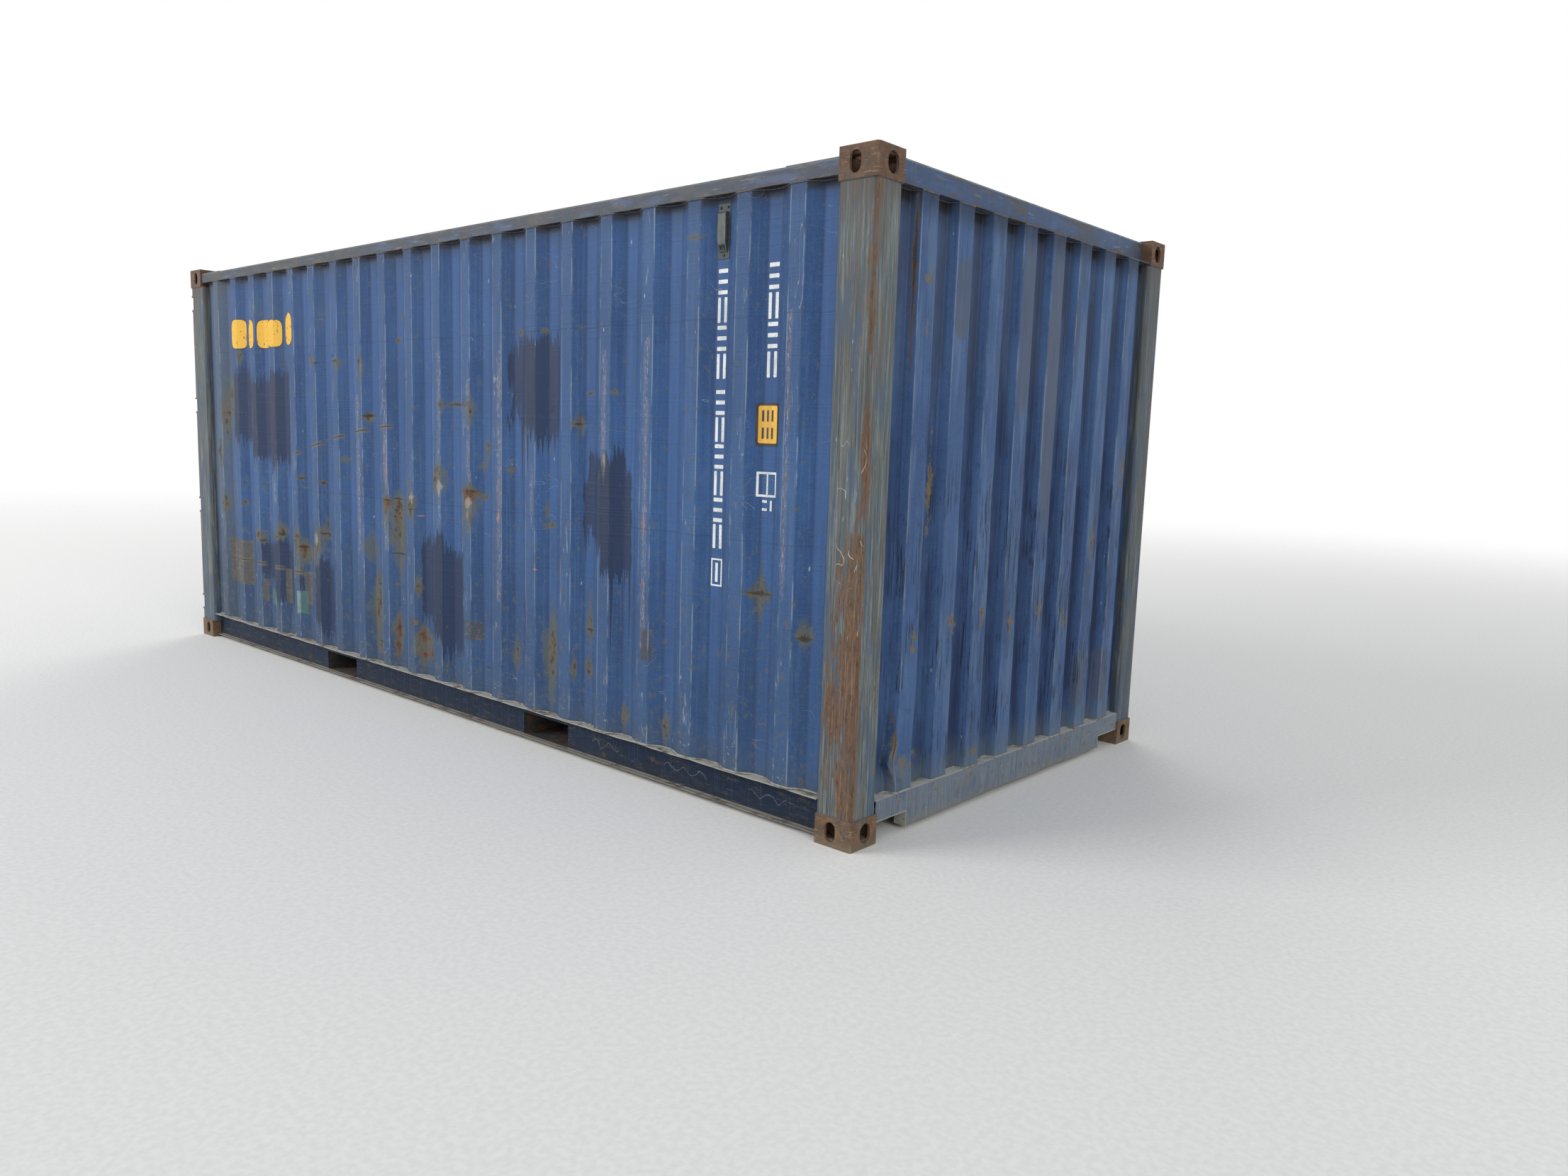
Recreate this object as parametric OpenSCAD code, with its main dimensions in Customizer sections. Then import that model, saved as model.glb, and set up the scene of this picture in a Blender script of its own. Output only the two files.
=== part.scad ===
// Twenty foot steel shipping container, standing closed on its corner castings.
// Millimetres. X runs along the length with the blind front end at +X and the doors at -X,
// Y runs across with the left side at +Y, and Z is up. The origin is on the ground at mid-plan.

/* [Overall] */
// Length over the corner castings
length = 6058; // [5600:1:6400]
// Width over the corner castings
width = 2438; // [2400:1:2500]
// Height over the corner castings
height = 2591; // [2400:1:2900]

/* [Corner castings] */
// Casting size along the container
casting_x = 178; // [170:1:190]
// Casting size across the container
casting_y = 162; // [155:1:170]
// Casting height
casting_z = 118; // [112:1:125]
// Wall of the casting at its sides
casting_wall = 12; // [9:0.5:13]
// Wall around the top or bottom slot
casting_slot_wall = 28.5; // [20:0.5:30]
// Wall on the far side of the slot
casting_back_wall = 14; // [8:0.5:16]
// Length of the top and bottom slots
slot_length = 124.5; // [115:0.5:126]
// Width of the top and bottom slots
slot_width = 63.5; // [55:0.5:66]
// Slot centre from the end face
slot_from_end = 102.5; // [101:0.5:103]
// Slot centre from the side face
slot_from_side = 89.5; // [85:0.5:92]
// Height of the side and end holes
hole_height = 79.5; // [70:0.5:82]
// Width of the hole in the side face
side_hole_width = 51; // [40:0.5:56]
// Width of the hole in the end face
end_hole_width = 63.5; // [55:0.5:66]
// Corner radius of the castings
casting_round = 14; // [6:1:16]

/* [Corner posts] */
// Plate of the posts
post_t = 6; // [4:0.5:7]
// Post faces behind the casting faces
post_inset = 5; // [3:0.5:8]
// Outer bend radius of the posts
post_bend = 22; // [16:1:26]
// Side face of a front post, from the end of the container
front_post_width = 183; // [180:1:200]
// Side face of a rear post, from the end of the container
rear_post_width = 205; // [200:1:215]
// Rear face of a rear post, from its outer face to the door seal
rear_post_face = 34; // [30:1:38]
// Depth of the rear post's door side, from its rear face
rear_post_depth = 94; // [90:1:98]
// Inner channel of a rear post, across the container
post_channel_width = 40; // [36:1:44]
// Wall of that channel
post_channel_t = 10; // [6:1:12]
// Channel web inside the line of the door seal
post_channel_lap = 20; // [14:1:26]

/* [Top rails] */
// Square tube of the top rails
top_rail = 60; // [50:1:64]
// Wall of that tube
top_rail_t = 3; // [2:0.5:5]
// Tube top below the casting tops
top_rail_drop = 33; // [28:1:40]
// Header plates below the casting tops
header_drop = 5; // [3:1:10]
// Header plate thickness
header_t = 4; // [3:0.5:5]
// Front header face behind the casting face
front_header_inset = 54; // [50:1:58]
// Front wall's top edge below the casting tops
front_wall_drop = 114; // [108:1:120]

/* [Bottom rails] */
// Rails above the ground
base_gap = 17; // [13:1:22]
// Height of the bottom side rails
side_rail_height = 158; // [150:1:170]
// Plate of the bottom rails
rail_t = 4.5; // [3:0.5:6]
// Side rail web behind the casting's side face
side_rail_web_inset = 56; // [54:1:60]
// Width of the side rail's foot
side_rail_foot = 30; // [20:1:40]
// Height of the front sill
front_sill_height = 153; // [148:1:160]
// Height of the door sill
door_sill_height = 145; // [140:1:150]
// Depth of the end sills
sill_depth = 60; // [54:1:70]
// Lifting notch in the end sills, from the casting
notch_width = 206; // [160:1:240]
// Top of that notch above the ground
notch_top = 80; // [60:1:95]
// Lining plate of the notch
notch_lining = 8; // [4:1:10]

/* [Sheet walls] */
// Thickness of the wall sheets
sheet_t = 2; // [1.6:0.2:3]
// Centre line radius of the sheet bends
sheet_bend = 9; // [5:1:12]
// Pitch of the side corrugations
side_pitch = 278; // [274:1:279]
// Outer flat of a side corrugation
side_crest = 72; // [64:1:76]
// Slope of a side corrugation, along the wall
side_slope = 68; // [60:1:72]
// Depth of the side corrugations
side_depth = 36; // [30:1:38]
// Side crests behind the casting's side face
side_inset = 10; // [8:1:14]
// Side wall's middle ahead of the container's middle
side_shift = 12; // [6:1:16]
// Corrugations of the front wall
front_waves = 8; // [6:1:8]
// Pitch of the front corrugations
front_pitch = 250.8; // [240:0.2:256]
// Outer flat of a front corrugation
front_crest = 106; // [96:1:112]
// Slope of a front corrugation, across the wall
front_slope = 18; // [16:1:24]
// Depth of the front corrugations
front_depth = 45.6; // [40:0.2:47]
// Front crests behind the casting's end face
front_inset = 6; // [6:0.5:10]

/* [Roof] */
// Pitch of the stamped roof ribs
roof_pitch = 209; // [190:1:230]
// Height of the ribs
roof_rise = 20; // [12:1:22]
// Flat top of a rib, along the container
roof_crest = 91; // [70:1:110]
// Slope of a rib's long sides
roof_slope = 14; // [8:1:20]
// Slope of a rib's ends
roof_end_slope = 40; // [20:1:60]
// Flat margin outside the rib ends
roof_margin = 70; // [66:1:90]

/* [Floor] */
// Thickness of the plywood
floor_t = 28; // [24:1:30]
// Boards along the floor
floor_boards_along = 5; // [3:1:8]
// Gap between boards
board_gap = 3; // [2:0.5:6]
// Height of the cross members
member_height = 122; // [110:1:124]
// Flange of the cross members
member_flange = 45; // [35:1:50]
// Plate of the cross members
member_t = 4; // [3:0.5:5]
// Greatest distance between cross members
member_pitch = 300; // [260:1:340]

/* [Fork pockets] */
// Distance between the pocket centres
fork_spacing = 2084; // [2000:1:2100]
// Clear width of a pocket
fork_width = 361; // [355:1:370]
// Roof plate of a pocket
fork_roof_t = 3; // [3:0.5:5]
// Strap plate under a pocket
fork_strap_t = 6; // [4:0.5:8]
// Length of the strap plates, across the container
fork_strap = 200; // [150:1:260]

/* [Doors] */
// Door face behind the casting's end face
door_inset = 44; // [42:1:50]
// Thickness of a door
door_t = 50; // [45:1:54]
// Width of the door seals
seal_width = 10; // [8:0.5:14]
// Seal depth, along the container
seal_depth = 30; // [20:1:35]
// Seal in front of the rear post's channel
seal_back = 0.3; // [0.2:0.1:1]
// Half of the gap between the two doors
door_middle = 5; // [4:0.5:8]
// Upright tubes of the door frame
door_stile = 100; // [80:1:110]
// Top and bottom tubes of the door frame
door_rail = 150; // [120:1:160]
// Wall of the door frame tubes
door_tube_t = 3.2; // [2.5:0.1:5]
// Recessed bands of a door panel
door_waves = 5; // [3:1:6]
// Flat of a recessed band
door_band = 72; // [60:1:80]
// Slope of a recessed band
door_slope = 60; // [40:1:68]
// Depth of the bands
door_depth = 36; // [25:1:40]

/* [Locking gear] */
// Diameter of the lock rods
rod_d = 32; // [28:1:33]
// Wall of the lock rods
rod_wall = 4; // [3:0.5:5]
// Rod axis behind the casting's end face
rod_inset = 22; // [21:0.5:23]
// Inner lock rods from the middle of the container
inner_rod_y = 330; // [280:1:400]
// Outer lock rods from the middle of the container
outer_rod_y = 880; // [800:1:930]
// Rod ends above and below the doors
rod_reach = 78; // [60:1:84]
// Height of the outer rods' handles
outer_handle_z = 1060; // [1000:1:1100]
// Height of the inner rods' handles
inner_handle_z = 1170; // [1140:1:1200]
// Length of the handles
handle_length = 480; // [400:1:500]
// Diameter of the hinge pins
hinge_pin_d = 16; // [12:1:18]
// Height of a hinge notch
hinge_notch = 110; // [100:1:130]
// Lowest hinge above the ground
hinge_low = 242; // [235:1:300]
// Highest hinge below the casting tops
hinge_drop = 226; // [212:1:290]

/* [Ventilators] */
// Width of a ventilator's base plate
vent_plate_width = 65; // [56:1:68]
// Height of a ventilator's base plate
vent_plate_height = 213; // [200:1:230]
// Top of that plate below the casting tops
vent_drop = 121; // [110:1:140]
// Width of the ventilator's hood
vent_width = 44; // [38:1:54]
// Height of the hood
vent_height = 157; // [145:1:165]
// Hood above the foot of the plate
vent_foot = 25; // [20:1:30]
// Height of the hood's sloped underside
vent_slope = 38; // [30:1:44]
// Depth of the hood
vent_depth = 19; // [16:1:26]
// Wall of the hood
vent_t = 2; // [1.5:0.5:3]
// Corrugations between the ventilator and the end of the wall
vent_from_end = 2; // [1:1:4]

/* [Hidden] */
half_length = length / 2;
half_width = width / 2;
casting_inner_x = half_length - casting_x;
casting_inner_y = half_width - casting_y;
post_bottom = casting_z;
post_top = height - casting_z;
post_line = post_t / 2;
front_post_x = half_length - front_post_width;
rear_post_x = half_length - rear_post_width;

side_run = length - front_post_width - rear_post_width;
side_waves = floor((side_run - side_pitch / 8) / side_pitch);
side_out = half_width - side_inset;
side_in = side_out - side_depth;
front_out = half_length - front_inset;
front_in = front_out - front_depth;

side_rail_top = base_gap + side_rail_height;
side_rail_web = half_width - side_rail_web_inset;
side_rail_inner = side_rail_web - rail_t;
top_rail_top = height - top_rail_drop;
top_rail_bottom = top_rail_top - top_rail;
front_header_x = half_length - front_header_inset;
header_top = height - header_drop;
header_cap = 34;
header_slope = 46;
header_lap = 24;
front_wall_top = height - front_wall_drop;
front_sill_top = base_gap + front_sill_height;
door_sill_top = base_gap + door_sill_height;

vent_slit_pitch = 10;
vent_seat = 0.3;
vent_flat = side_pitch - side_crest - 2 * side_slope - sheet_bend / 2;
vent_plate = min(vent_plate_width, vent_flat);
vent_hood = min(vent_width, vent_plate - 8);
vent_far = (side_waves / 2 - vent_from_end) * side_pitch;

member_top = base_gap + member_height;
fork_x = [side_shift - fork_spacing / 2, side_shift + fork_spacing / 2];
fork_edge = fork_width / 2 + member_flange;

door_x = half_length - door_inset;
door_back_x = door_x - door_t;
post_channel_x = half_length - post_inset - rear_post_depth;
seal_out_y = half_width - post_inset - rear_post_face;
door_out_y = seal_out_y - seal_width;
stop_bottom = post_top - seal_width;
door_bottom = door_sill_top + seal_width + 2;
door_top = stop_bottom - seal_width - 2;
panel_low = door_bottom + door_rail;
panel_high = door_top - door_rail;
panel_pitch = (panel_high - panel_low) / door_waves;
rod_x = half_length - rod_inset;
rod_gap = 0.5;
rod_ys = [-outer_rod_y, -inner_rod_y, inner_rod_y, outer_rod_y];
bracket_height = 40;
bracket_wall = 5;
bracket_foot = 60;
cam_height = 18;
cam_reach = 28;
cam_heel = 20;
cam_nose = 6;
keeper_lug_y = 46;
keeper_lug = 12;
catch_t = 6;
grip = 80;
hinge_zs = [for (i = [0:3]) hinge_low + (height - hinge_drop - hinge_low) * i / 3];
hinge_lug = 12;
hinge_cut = 46;
hinge_axis_x = half_length - 25;
hinge_axis_y = half_width - 22;
hinge_knuckle = 28;
hinge_strap_t = 8;
hinge_strap_height = 50;
hinge_strap_lap = 92;

roof_t = sheet_t;
roof_bottom = top_rail_top;
roof_half_y = side_out - 9;
roof_half_x = casting_inner_x;
roof_ribs = 2 * floor((roof_half_x - roof_pitch / 2 - 30) / roof_pitch) + 1;
roof_tongue_y = casting_inner_y - 2;
corner_plate_y = 136;
corner_plate_t = 4;

// Geometry of bent plate

function unit(v) = v / norm(v);
function left_of(v) = [-v[1], v[0]];
function turned(v, a) = [v[0] * cos(a) - v[1] * sin(a), v[0] * sin(a) + v[1] * cos(a)];
function reversed(list) = [for (i = [len(list) - 1:-1:0]) list[i]];

// Facets of a bend: six round a corner post, two in thin sheet
function bend_steps(radius) = radius > sheet_bend + 2 ? 6 : 2;

// Points of the bend at b between a and c, moved off to the left of the path
function bend_points(a, b, c, radius, off) =
    let (
        u = unit(b - a),
        w = unit(c - b),
        angle = atan2(u[0] * w[1] - u[1] * w[0], u * w),
        side = sign(angle),
        start = b - u * radius * tan(abs(angle) / 2),
        centre = start + side * radius * left_of(u)
    )
    [for (i = [0:bend_steps(radius)])
        centre - side * (radius - side * off) * turned(left_of(u), angle * i / bend_steps(radius))];

// One face of a bent plate, from end to end of its centre line
function plate_face(path, radius, off) =
    let (last = len(path) - 1)
    concat(
        [path[0] + off * left_of(unit(path[1] - path[0]))],
        [for (i = [1:last - 1]) each bend_points(path[i - 1], path[i], path[i + 1], radius, off)],
        [path[last] + off * left_of(unit(path[last] - path[last - 1]))]
    );

// Section of a bent plate
module plate_section(path, t, radius) {
    polygon(concat(plate_face(path, radius, t / 2), reversed(plate_face(path, radius, -t / 2))));
}

// Upright plate: the path lies in plan
module upright(path, t, radius, z0, z1) {
    translate([0, 0, z0]) linear_extrude(z1 - z0) plate_section(path, t, radius);
}

// Plate that runs across: the path lies in X and Z
module crosswise(path, t, radius, y0, y1) {
    translate([0, y1, 0]) rotate([90, 0, 0]) linear_extrude(y1 - y0) plate_section(path, t, radius);
}

// Plate that runs lengthwise: the path lies in Y and Z
module lengthwise(path, t, radius, x0, x1) {
    translate([x0, 0, 0]) rotate([90, 0, 90]) linear_extrude(x1 - x0) plate_section(path, t, radius);
}

// Box between two corners
module block(a, b) {
    translate(a) cube(b - a);
}

// Square tube between two corners, open along the axis of its length
module tube(a, b, t, axis) {
    wall = [axis == 0 ? -1 : t, axis == 1 ? -1 : t, axis == 2 ? -1 : t];
    difference() {
        block(a, b);
        block(a + wall, b - wall);
    }
}

// Slot with round ends
module stadium(size) {
    long = max(size[0], size[1]);
    short = min(size[0], size[1]);
    lies = size[0] > size[1];
    run = long - short;
    square([lies ? run : short, lies ? short : run], center = true);
    for (s = [-1, 1])
        translate([lies ? s * run / 2 : 0, lies ? 0 : s * run / 2]) circle(d = short, $fn = 48);
}

// Places a part of the right side, front half, on another side or end
module on_side(left) {
    mirror([0, left ? 1 : 0, 0]) children();
}

module on_end(rear) {
    mirror([rear ? 1 : 0, 0, 0]) children();
}

// Corner castings

// Plan of a casting, with its outer corner rounded
module casting_plan() {
    difference() {
        square([casting_x, casting_y]);
        translate([casting_x - casting_round, -1]) square([casting_round + 1, casting_round + 1]);
    }
    translate([casting_x - casting_round, casting_round]) circle(r = casting_round, $fn = 48);
}

// Casting at the right front corner with its slot downwards
module casting() {
    translate([half_length - casting_x, -half_width, 0]) difference() {
        linear_extrude(casting_z) casting_plan();
        block(
            [casting_wall, casting_wall, casting_slot_wall],
            [casting_x - casting_wall, casting_y - casting_wall, casting_z - casting_back_wall]
        );
        translate([casting_x - slot_from_end, slot_from_side, -1])
            linear_extrude(casting_slot_wall + 2) stadium([slot_length, slot_width]);
        translate([casting_x - slot_from_end, casting_wall + 2, casting_z / 2]) rotate([90, 0, 0])
            linear_extrude(casting_wall + 4) stadium([side_hole_width, hole_height]);
        translate([casting_x - casting_wall - 2, slot_from_side, casting_z / 2]) rotate([90, 0, 90])
            linear_extrude(casting_wall + 4) stadium([end_hole_width, hole_height]);
    }
}

module corner_casting(rear, left, top) {
    color("saddlebrown") on_end(rear) on_side(left)
        translate([0, 0, top ? height / 2 : 0]) mirror([0, 0, top ? 1 : 0])
        translate([0, 0, top ? -height / 2 : 0]) casting();
}

// Corner posts

// Front post: one pressed plate with both edges turned in to the walls
module front_post(left) {
    face_y = half_width - post_inset - post_line;
    face_x = half_length - post_inset - post_line;
    wall_x = front_post_x + post_line;
    wall_y = casting_inner_y + post_line;
    path = [
        [wall_x, -side_in + 8],
        [wall_x, -face_y],
        [face_x, -face_y],
        [face_x, -wall_y],
        [front_in - 8, -wall_y]
    ];
    color("slategray") on_side(left) upright(path, post_t, post_bend - post_line, post_bottom, post_top);
}

// Rear post: a pressed outer plate closed by a rolled channel, notched for the hinges
module rear_post(left) {
    face_y = half_width - post_inset - post_line;
    face_x = half_length - post_inset - post_line;
    wall_x = rear_post_x + post_line;
    seal_y = seal_out_y + post_line;
    channel_y = seal_out_y - post_channel_lap;
    lug_x = half_length - post_inset - hinge_cut;
    bend = min(post_bend - post_line, (face_y - seal_y) / 2 - 0.5);
    outer = [
        [wall_x, -channel_y - post_channel_t],
        [wall_x, -face_y],
        [face_x, -face_y],
        [face_x, -seal_y],
        [post_channel_x - 1, -seal_y]
    ];
    color("slategray") on_end(true) on_side(left) {
        difference() {
            union() {
                upright(outer, post_t, bend, post_bottom, post_top);
                block([rear_post_x, -channel_y - post_channel_width, post_bottom],
                    [post_channel_x, -channel_y, post_top]);
            }
            block([rear_post_x + post_t, -channel_y - post_channel_width - 1, post_bottom - 1],
                [post_channel_x - post_channel_t, -channel_y - post_channel_t, post_top + 1]);
            for (z = hinge_zs) block([lug_x, -half_width, z - hinge_notch / 2],
                [half_length, -seal_out_y + 1, z + hinge_notch / 2]);
        }
        for (z = hinge_zs) for (s = [-1, 1]) hinge_lug_plate(z, s, lug_x);
    }
}

// Plate above or below a hinge that carries its pin
module hinge_lug_plate(z, s, lug_x) {
    far = s * hinge_notch / 2;
    near = s * (hinge_notch / 2 - hinge_lug);
    difference() {
        block([lug_x, -half_width + post_inset, z + min(near, far)],
            [half_length - post_inset, -seal_out_y, z + max(near, far)]);
        translate([hinge_axis_x, -hinge_axis_y, z + min(near, far) - 1])
            cylinder(h = hinge_lug + 2, d = hinge_pin_d + 1, $fn = 32);
    }
}

// Top rails

module top_side_rail(left) {
    color("steelblue") on_side(left)
        tube([-casting_inner_x, -side_out, top_rail_bottom],
            [casting_inner_x, -side_out + top_rail, top_rail_top], top_rail_t, 0);
}

// Front top rail: a tube behind a pressed header whose lip covers the wall's corrugations
module front_top_rail() {
    web_x = front_header_x - header_t / 2;
    lip_z = front_wall_top + header_t / 2;
    cap_z = header_top - header_t / 2;
    rest_z = roof_bottom + roof_t + header_t / 2;
    path = [
        [front_out + 1, lip_z],
        [web_x, lip_z],
        [web_x, cap_z],
        [web_x - header_cap, cap_z],
        [web_x - header_cap - header_slope, rest_z],
        [web_x - header_cap - header_slope - header_lap, rest_z]
    ];
    color("steelblue") union() {
        crosswise(path, header_t, header_t + 1, -casting_inner_y, casting_inner_y);
        tube([web_x - top_rail, -casting_inner_y, top_rail_bottom],
            [web_x, casting_inner_y, top_rail_top], top_rail_t, 1);
    }
}

// Rear header: a box over the doors with a stop bar that reaches both posts
module rear_header() {
    web_x = door_x - header_t / 2;
    low_z = stop_bottom + header_t / 2;
    cap_z = header_top - header_t / 2;
    rest_z = roof_bottom + roof_t + header_t / 2;
    tube_x = door_x - 2 * top_rail;
    path = [
        [tube_x + header_t / 2, top_rail_bottom + 1],
        [tube_x + header_t / 2, low_z],
        [web_x, low_z],
        [web_x, cap_z],
        [web_x - header_cap, cap_z],
        [web_x - header_cap - header_slope, rest_z],
        [web_x - header_cap - header_slope - header_lap, rest_z]
    ];
    color("steelblue") on_end(true) union() {
        crosswise(path, header_t, header_t + 1, -casting_inner_y, casting_inner_y);
        tube([tube_x, -casting_inner_y, top_rail_bottom],
            [tube_x + top_rail, casting_inner_y, top_rail_top], top_rail_t, 1);
        block([post_channel_x + 2, -seal_out_y, stop_bottom], [door_x, seal_out_y, post_top]);
    }
}

// Bottom rails

// Side rail: a channel with both flanges outwards, cut for the fork pockets and fitted to the posts
module bottom_side_rail(left) {
    line = rail_t / 2;
    path = [
        [-side_out, side_rail_top - line],
        [-side_rail_web + line, side_rail_top - line],
        [-side_rail_web + line, base_gap + line],
        [-side_rail_web - side_rail_foot + line, base_gap + line]
    ];
    color("midnightblue") on_side(left) difference() {
        lengthwise(path, rail_t, rail_t + 2, -casting_inner_x, casting_inner_x);
        for (x = fork_x) block([x - fork_width / 2, -side_rail_web - 1, base_gap + fork_strap_t],
            [x + fork_width / 2, -side_rail_inner + 1, member_top - fork_roof_t]);
        block([front_post_x, -half_width, post_bottom], [half_length, 0, side_rail_top + 1]);
        block([-half_length, -half_width, post_bottom], [-rear_post_x, 0, side_rail_top + 1]);
    }
}

// Channel of an end sill with its lifting notches; web_x is its outer face
module end_sill(web_x, top, flange) {
    line = rail_t / 2;
    path = [
        [web_x - sill_depth, base_gap + line],
        [web_x - line, base_gap + line],
        [web_x - line, top - line],
        [web_x - flange, top - line]
    ];
    notch_y = casting_inner_y - notch_width;
    difference() {
        crosswise(path, rail_t, rail_t + 2, -casting_inner_y, casting_inner_y);
        for (s = [0, 1]) mirror([0, s, 0])
            block([0, notch_y, 0], [half_length, half_width, notch_top]);
    }
    for (s = [0, 1]) mirror([0, s, 0]) {
        block([web_x - sill_depth, notch_y, notch_top],
            [web_x, casting_inner_y, notch_top + notch_lining]);
        block([web_x - sill_depth, notch_y - notch_lining, base_gap],
            [web_x, notch_y, notch_top + notch_lining]);
    }
    block([web_x - 2 * sill_depth, -casting_inner_y, member_top - rail_t],
        [web_x - line, casting_inner_y, member_top]);
}

module front_sill() {
    color("midnightblue") end_sill(half_length - post_inset, front_sill_top, sill_depth);
}

// Door sill: its top reaches over the castings to both posts
module door_sill() {
    color("midnightblue") on_end(true) union() {
        end_sill(door_x, door_sill_top, sill_depth);
        for (s = [0, 1]) mirror([0, s, 0]) {
            block([post_channel_x + 2, casting_inner_y - 1, door_sill_top - rail_t],
                [door_x, seal_out_y, door_sill_top]);
            block([door_x - rail_t, casting_inner_y - 1, post_bottom], [door_x, seal_out_y, door_sill_top]);
        }
    }
}

// Sheet walls

// Centre line of a corrugated sheet: distance along it, then distance out from its inner flats
function wave_path(from, to, middle, waves, pitch, crest, slope, depth) = concat(
    [[from, 0]],
    [for (i = [0:waves - 1])
        let (c = middle + (i - (waves - 1) / 2) * pitch)
        each [
            [c - crest / 2 - slope, 0],
            [c - crest / 2, depth],
            [c + crest / 2, depth],
            [c + crest / 2 + slope, 0]
        ]],
    [[to, 0]]
);

module side_wall(left) {
    path = wave_path(-rear_post_x, front_post_x, side_shift, side_waves,
        side_pitch, side_crest, side_slope, side_depth);
    shifted = [for (p = path) [p[0], -side_in + sheet_t / 2 - p[1]]];
    color("royalblue") on_side(left) upright(shifted, sheet_t, sheet_bend, side_rail_top, top_rail_bottom);
}

module front_wall() {
    path = wave_path(-casting_inner_y, casting_inner_y, 0, front_waves,
        front_pitch, front_crest, front_slope, front_depth);
    shifted = [for (p = path) [front_in - sheet_t / 2 + p[1], p[0]]];
    color("royalblue") upright(shifted, sheet_t, sheet_bend / 2, front_sill_top, front_wall_top);
}

// Roof

// Ribs of the roof as one solid, from drop below the sheet's top face
module roof_ribs_solid(drop) {
    top = roof_bottom + roof_t + roof_rise - drop;
    low = roof_bottom - drop;
    foot = roof_crest / 2 + roof_slope;
    shrink = drop > 0 ? 1 : 0;
    end_y = roof_half_y - roof_margin;
    intersection() {
        for (i = [0:roof_ribs - 1])
            let (x = (i - (roof_ribs - 1) / 2) * roof_pitch)
            translate([0, end_y, 0]) rotate([90, 0, 0]) linear_extrude(2 * end_y)
                polygon([[x - foot + shrink, low], [x + foot - shrink, low],
                    [x + roof_crest / 2 - shrink, top], [x - roof_crest / 2 + shrink, top]]);
        translate([-half_length, 0, 0]) rotate([90, 0, 90]) linear_extrude(length)
            polygon([[-end_y + shrink, low], [end_y - shrink, low],
                [end_y - roof_end_slope - shrink, top], [-end_y + roof_end_slope + shrink, top]]);
    }
}

module roof() {
    tongue_front = front_header_x - header_t - 2;
    tongue_rear = -(door_x - top_rail - 2);
    color("steelblue") difference() {
        union() {
            block([-roof_half_x, -roof_half_y, roof_bottom],
                [roof_half_x, roof_half_y, roof_bottom + roof_t]);
            block([tongue_rear, -roof_tongue_y, roof_bottom],
                [tongue_front, roof_tongue_y, roof_bottom + roof_t]);
            roof_ribs_solid(0);
            for (end = [0, 1]) mirror([end, 0, 0]) for (side = [0, 1]) mirror([0, side, 0])
                corner_plate();
        }
        roof_ribs_solid(roof_t);
    }
}

// Doubler on the roof beside a top casting, where a lifting frame may land
module corner_plate() {
    clear_x = (roof_ribs - 1) / 2 * roof_pitch + roof_crest / 2 + roof_slope + 12;
    block([clear_x, roof_half_y - corner_plate_y, roof_bottom + roof_t / 2],
        [roof_half_x, roof_half_y, roof_bottom + roof_t + corner_plate_t]);
}

// Floor

module floor_boards() {
    front_x = front_in - sheet_t - 14;
    rear_x = -(door_x - sill_depth - 5);
    board_x = (front_x - rear_x - (floor_boards_along - 1) * board_gap) / floor_boards_along;
    edge_y = side_rail_inner - board_gap;
    color("burlywood") for (i = [0:floor_boards_along - 1]) for (s = [0, 1]) mirror([0, s, 0])
        block([rear_x + i * (board_x + board_gap), board_gap / 2, member_top],
            [rear_x + i * (board_x + board_gap) + board_x, edge_y, member_top + floor_t]);
}

// Channel across the container with its web at x and its flanges towards +X or -X
module cross_channel(x, way) {
    line = member_t / 2;
    path = [
        [member_flange, line],
        [line, line],
        [line, member_height - line],
        [member_flange, member_height - line]
    ];
    translate([x, 0, base_gap]) mirror([way < 0 ? 1 : 0, 0, 0])
        crosswise(path, member_t, member_t, -side_rail_inner, side_rail_inner);
}

// Members from a to b, both ends left out
function member_row(a, b) =
    let (n = ceil((b - a) / member_pitch))
    [for (i = [1:n - 1]) a + (b - a) * i / n];

module cross_members() {
    end_x = casting_inner_x - member_flange;
    color("midnightblue") {
        cross_channel(-end_x, 1);
        cross_channel(end_x, -1);
        for (x = member_row(-end_x, fork_x[0] - fork_edge)) cross_channel(x, 1);
        for (x = member_row(fork_x[0] + fork_edge, fork_x[1] - fork_edge)) cross_channel(x, 1);
        for (x = member_row(fork_x[1] + fork_edge, end_x)) cross_channel(x, -1);
    }
}

// Fork pocket: two channels back to back, a roof plate and a strap plate under each mouth
module fork_pocket(x) {
    half = fork_width / 2;
    seat = 2 * member_t;
    roof_z = member_top - fork_roof_t;
    color("midnightblue") union() {
        cross_channel(x + half, 1);
        cross_channel(x - half, -1);
        block([x - half - seat, -side_rail_inner, roof_z], [x + half + seat, side_rail_inner, member_top]);
        for (s = [0, 1]) mirror([0, s, 0])
            block([x - half - seat, side_rail_inner - fork_strap, base_gap],
                [x + half + seat, side_rail_inner, base_gap + fork_strap_t]);
    }
}

// Doors

// Frame of the right door, at the front end so that on_end carries it to the rear
module door_frame(left) {
    t = door_tube_t;
    color("steelblue") on_end(true) on_side(left) union() {
        tube([door_back_x, -door_out_y, door_bottom], [door_x, -door_out_y + door_stile, door_top], t, 2);
        tube([door_back_x, -door_middle - door_stile, door_bottom], [door_x, -door_middle, door_top], t, 2);
        for (z = [door_bottom, door_top - door_rail])
            tube([door_back_x, -door_out_y + door_stile - t, z],
                [door_x, -door_middle - door_stile + t, z + door_rail], t, 1);
    }
}

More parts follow.
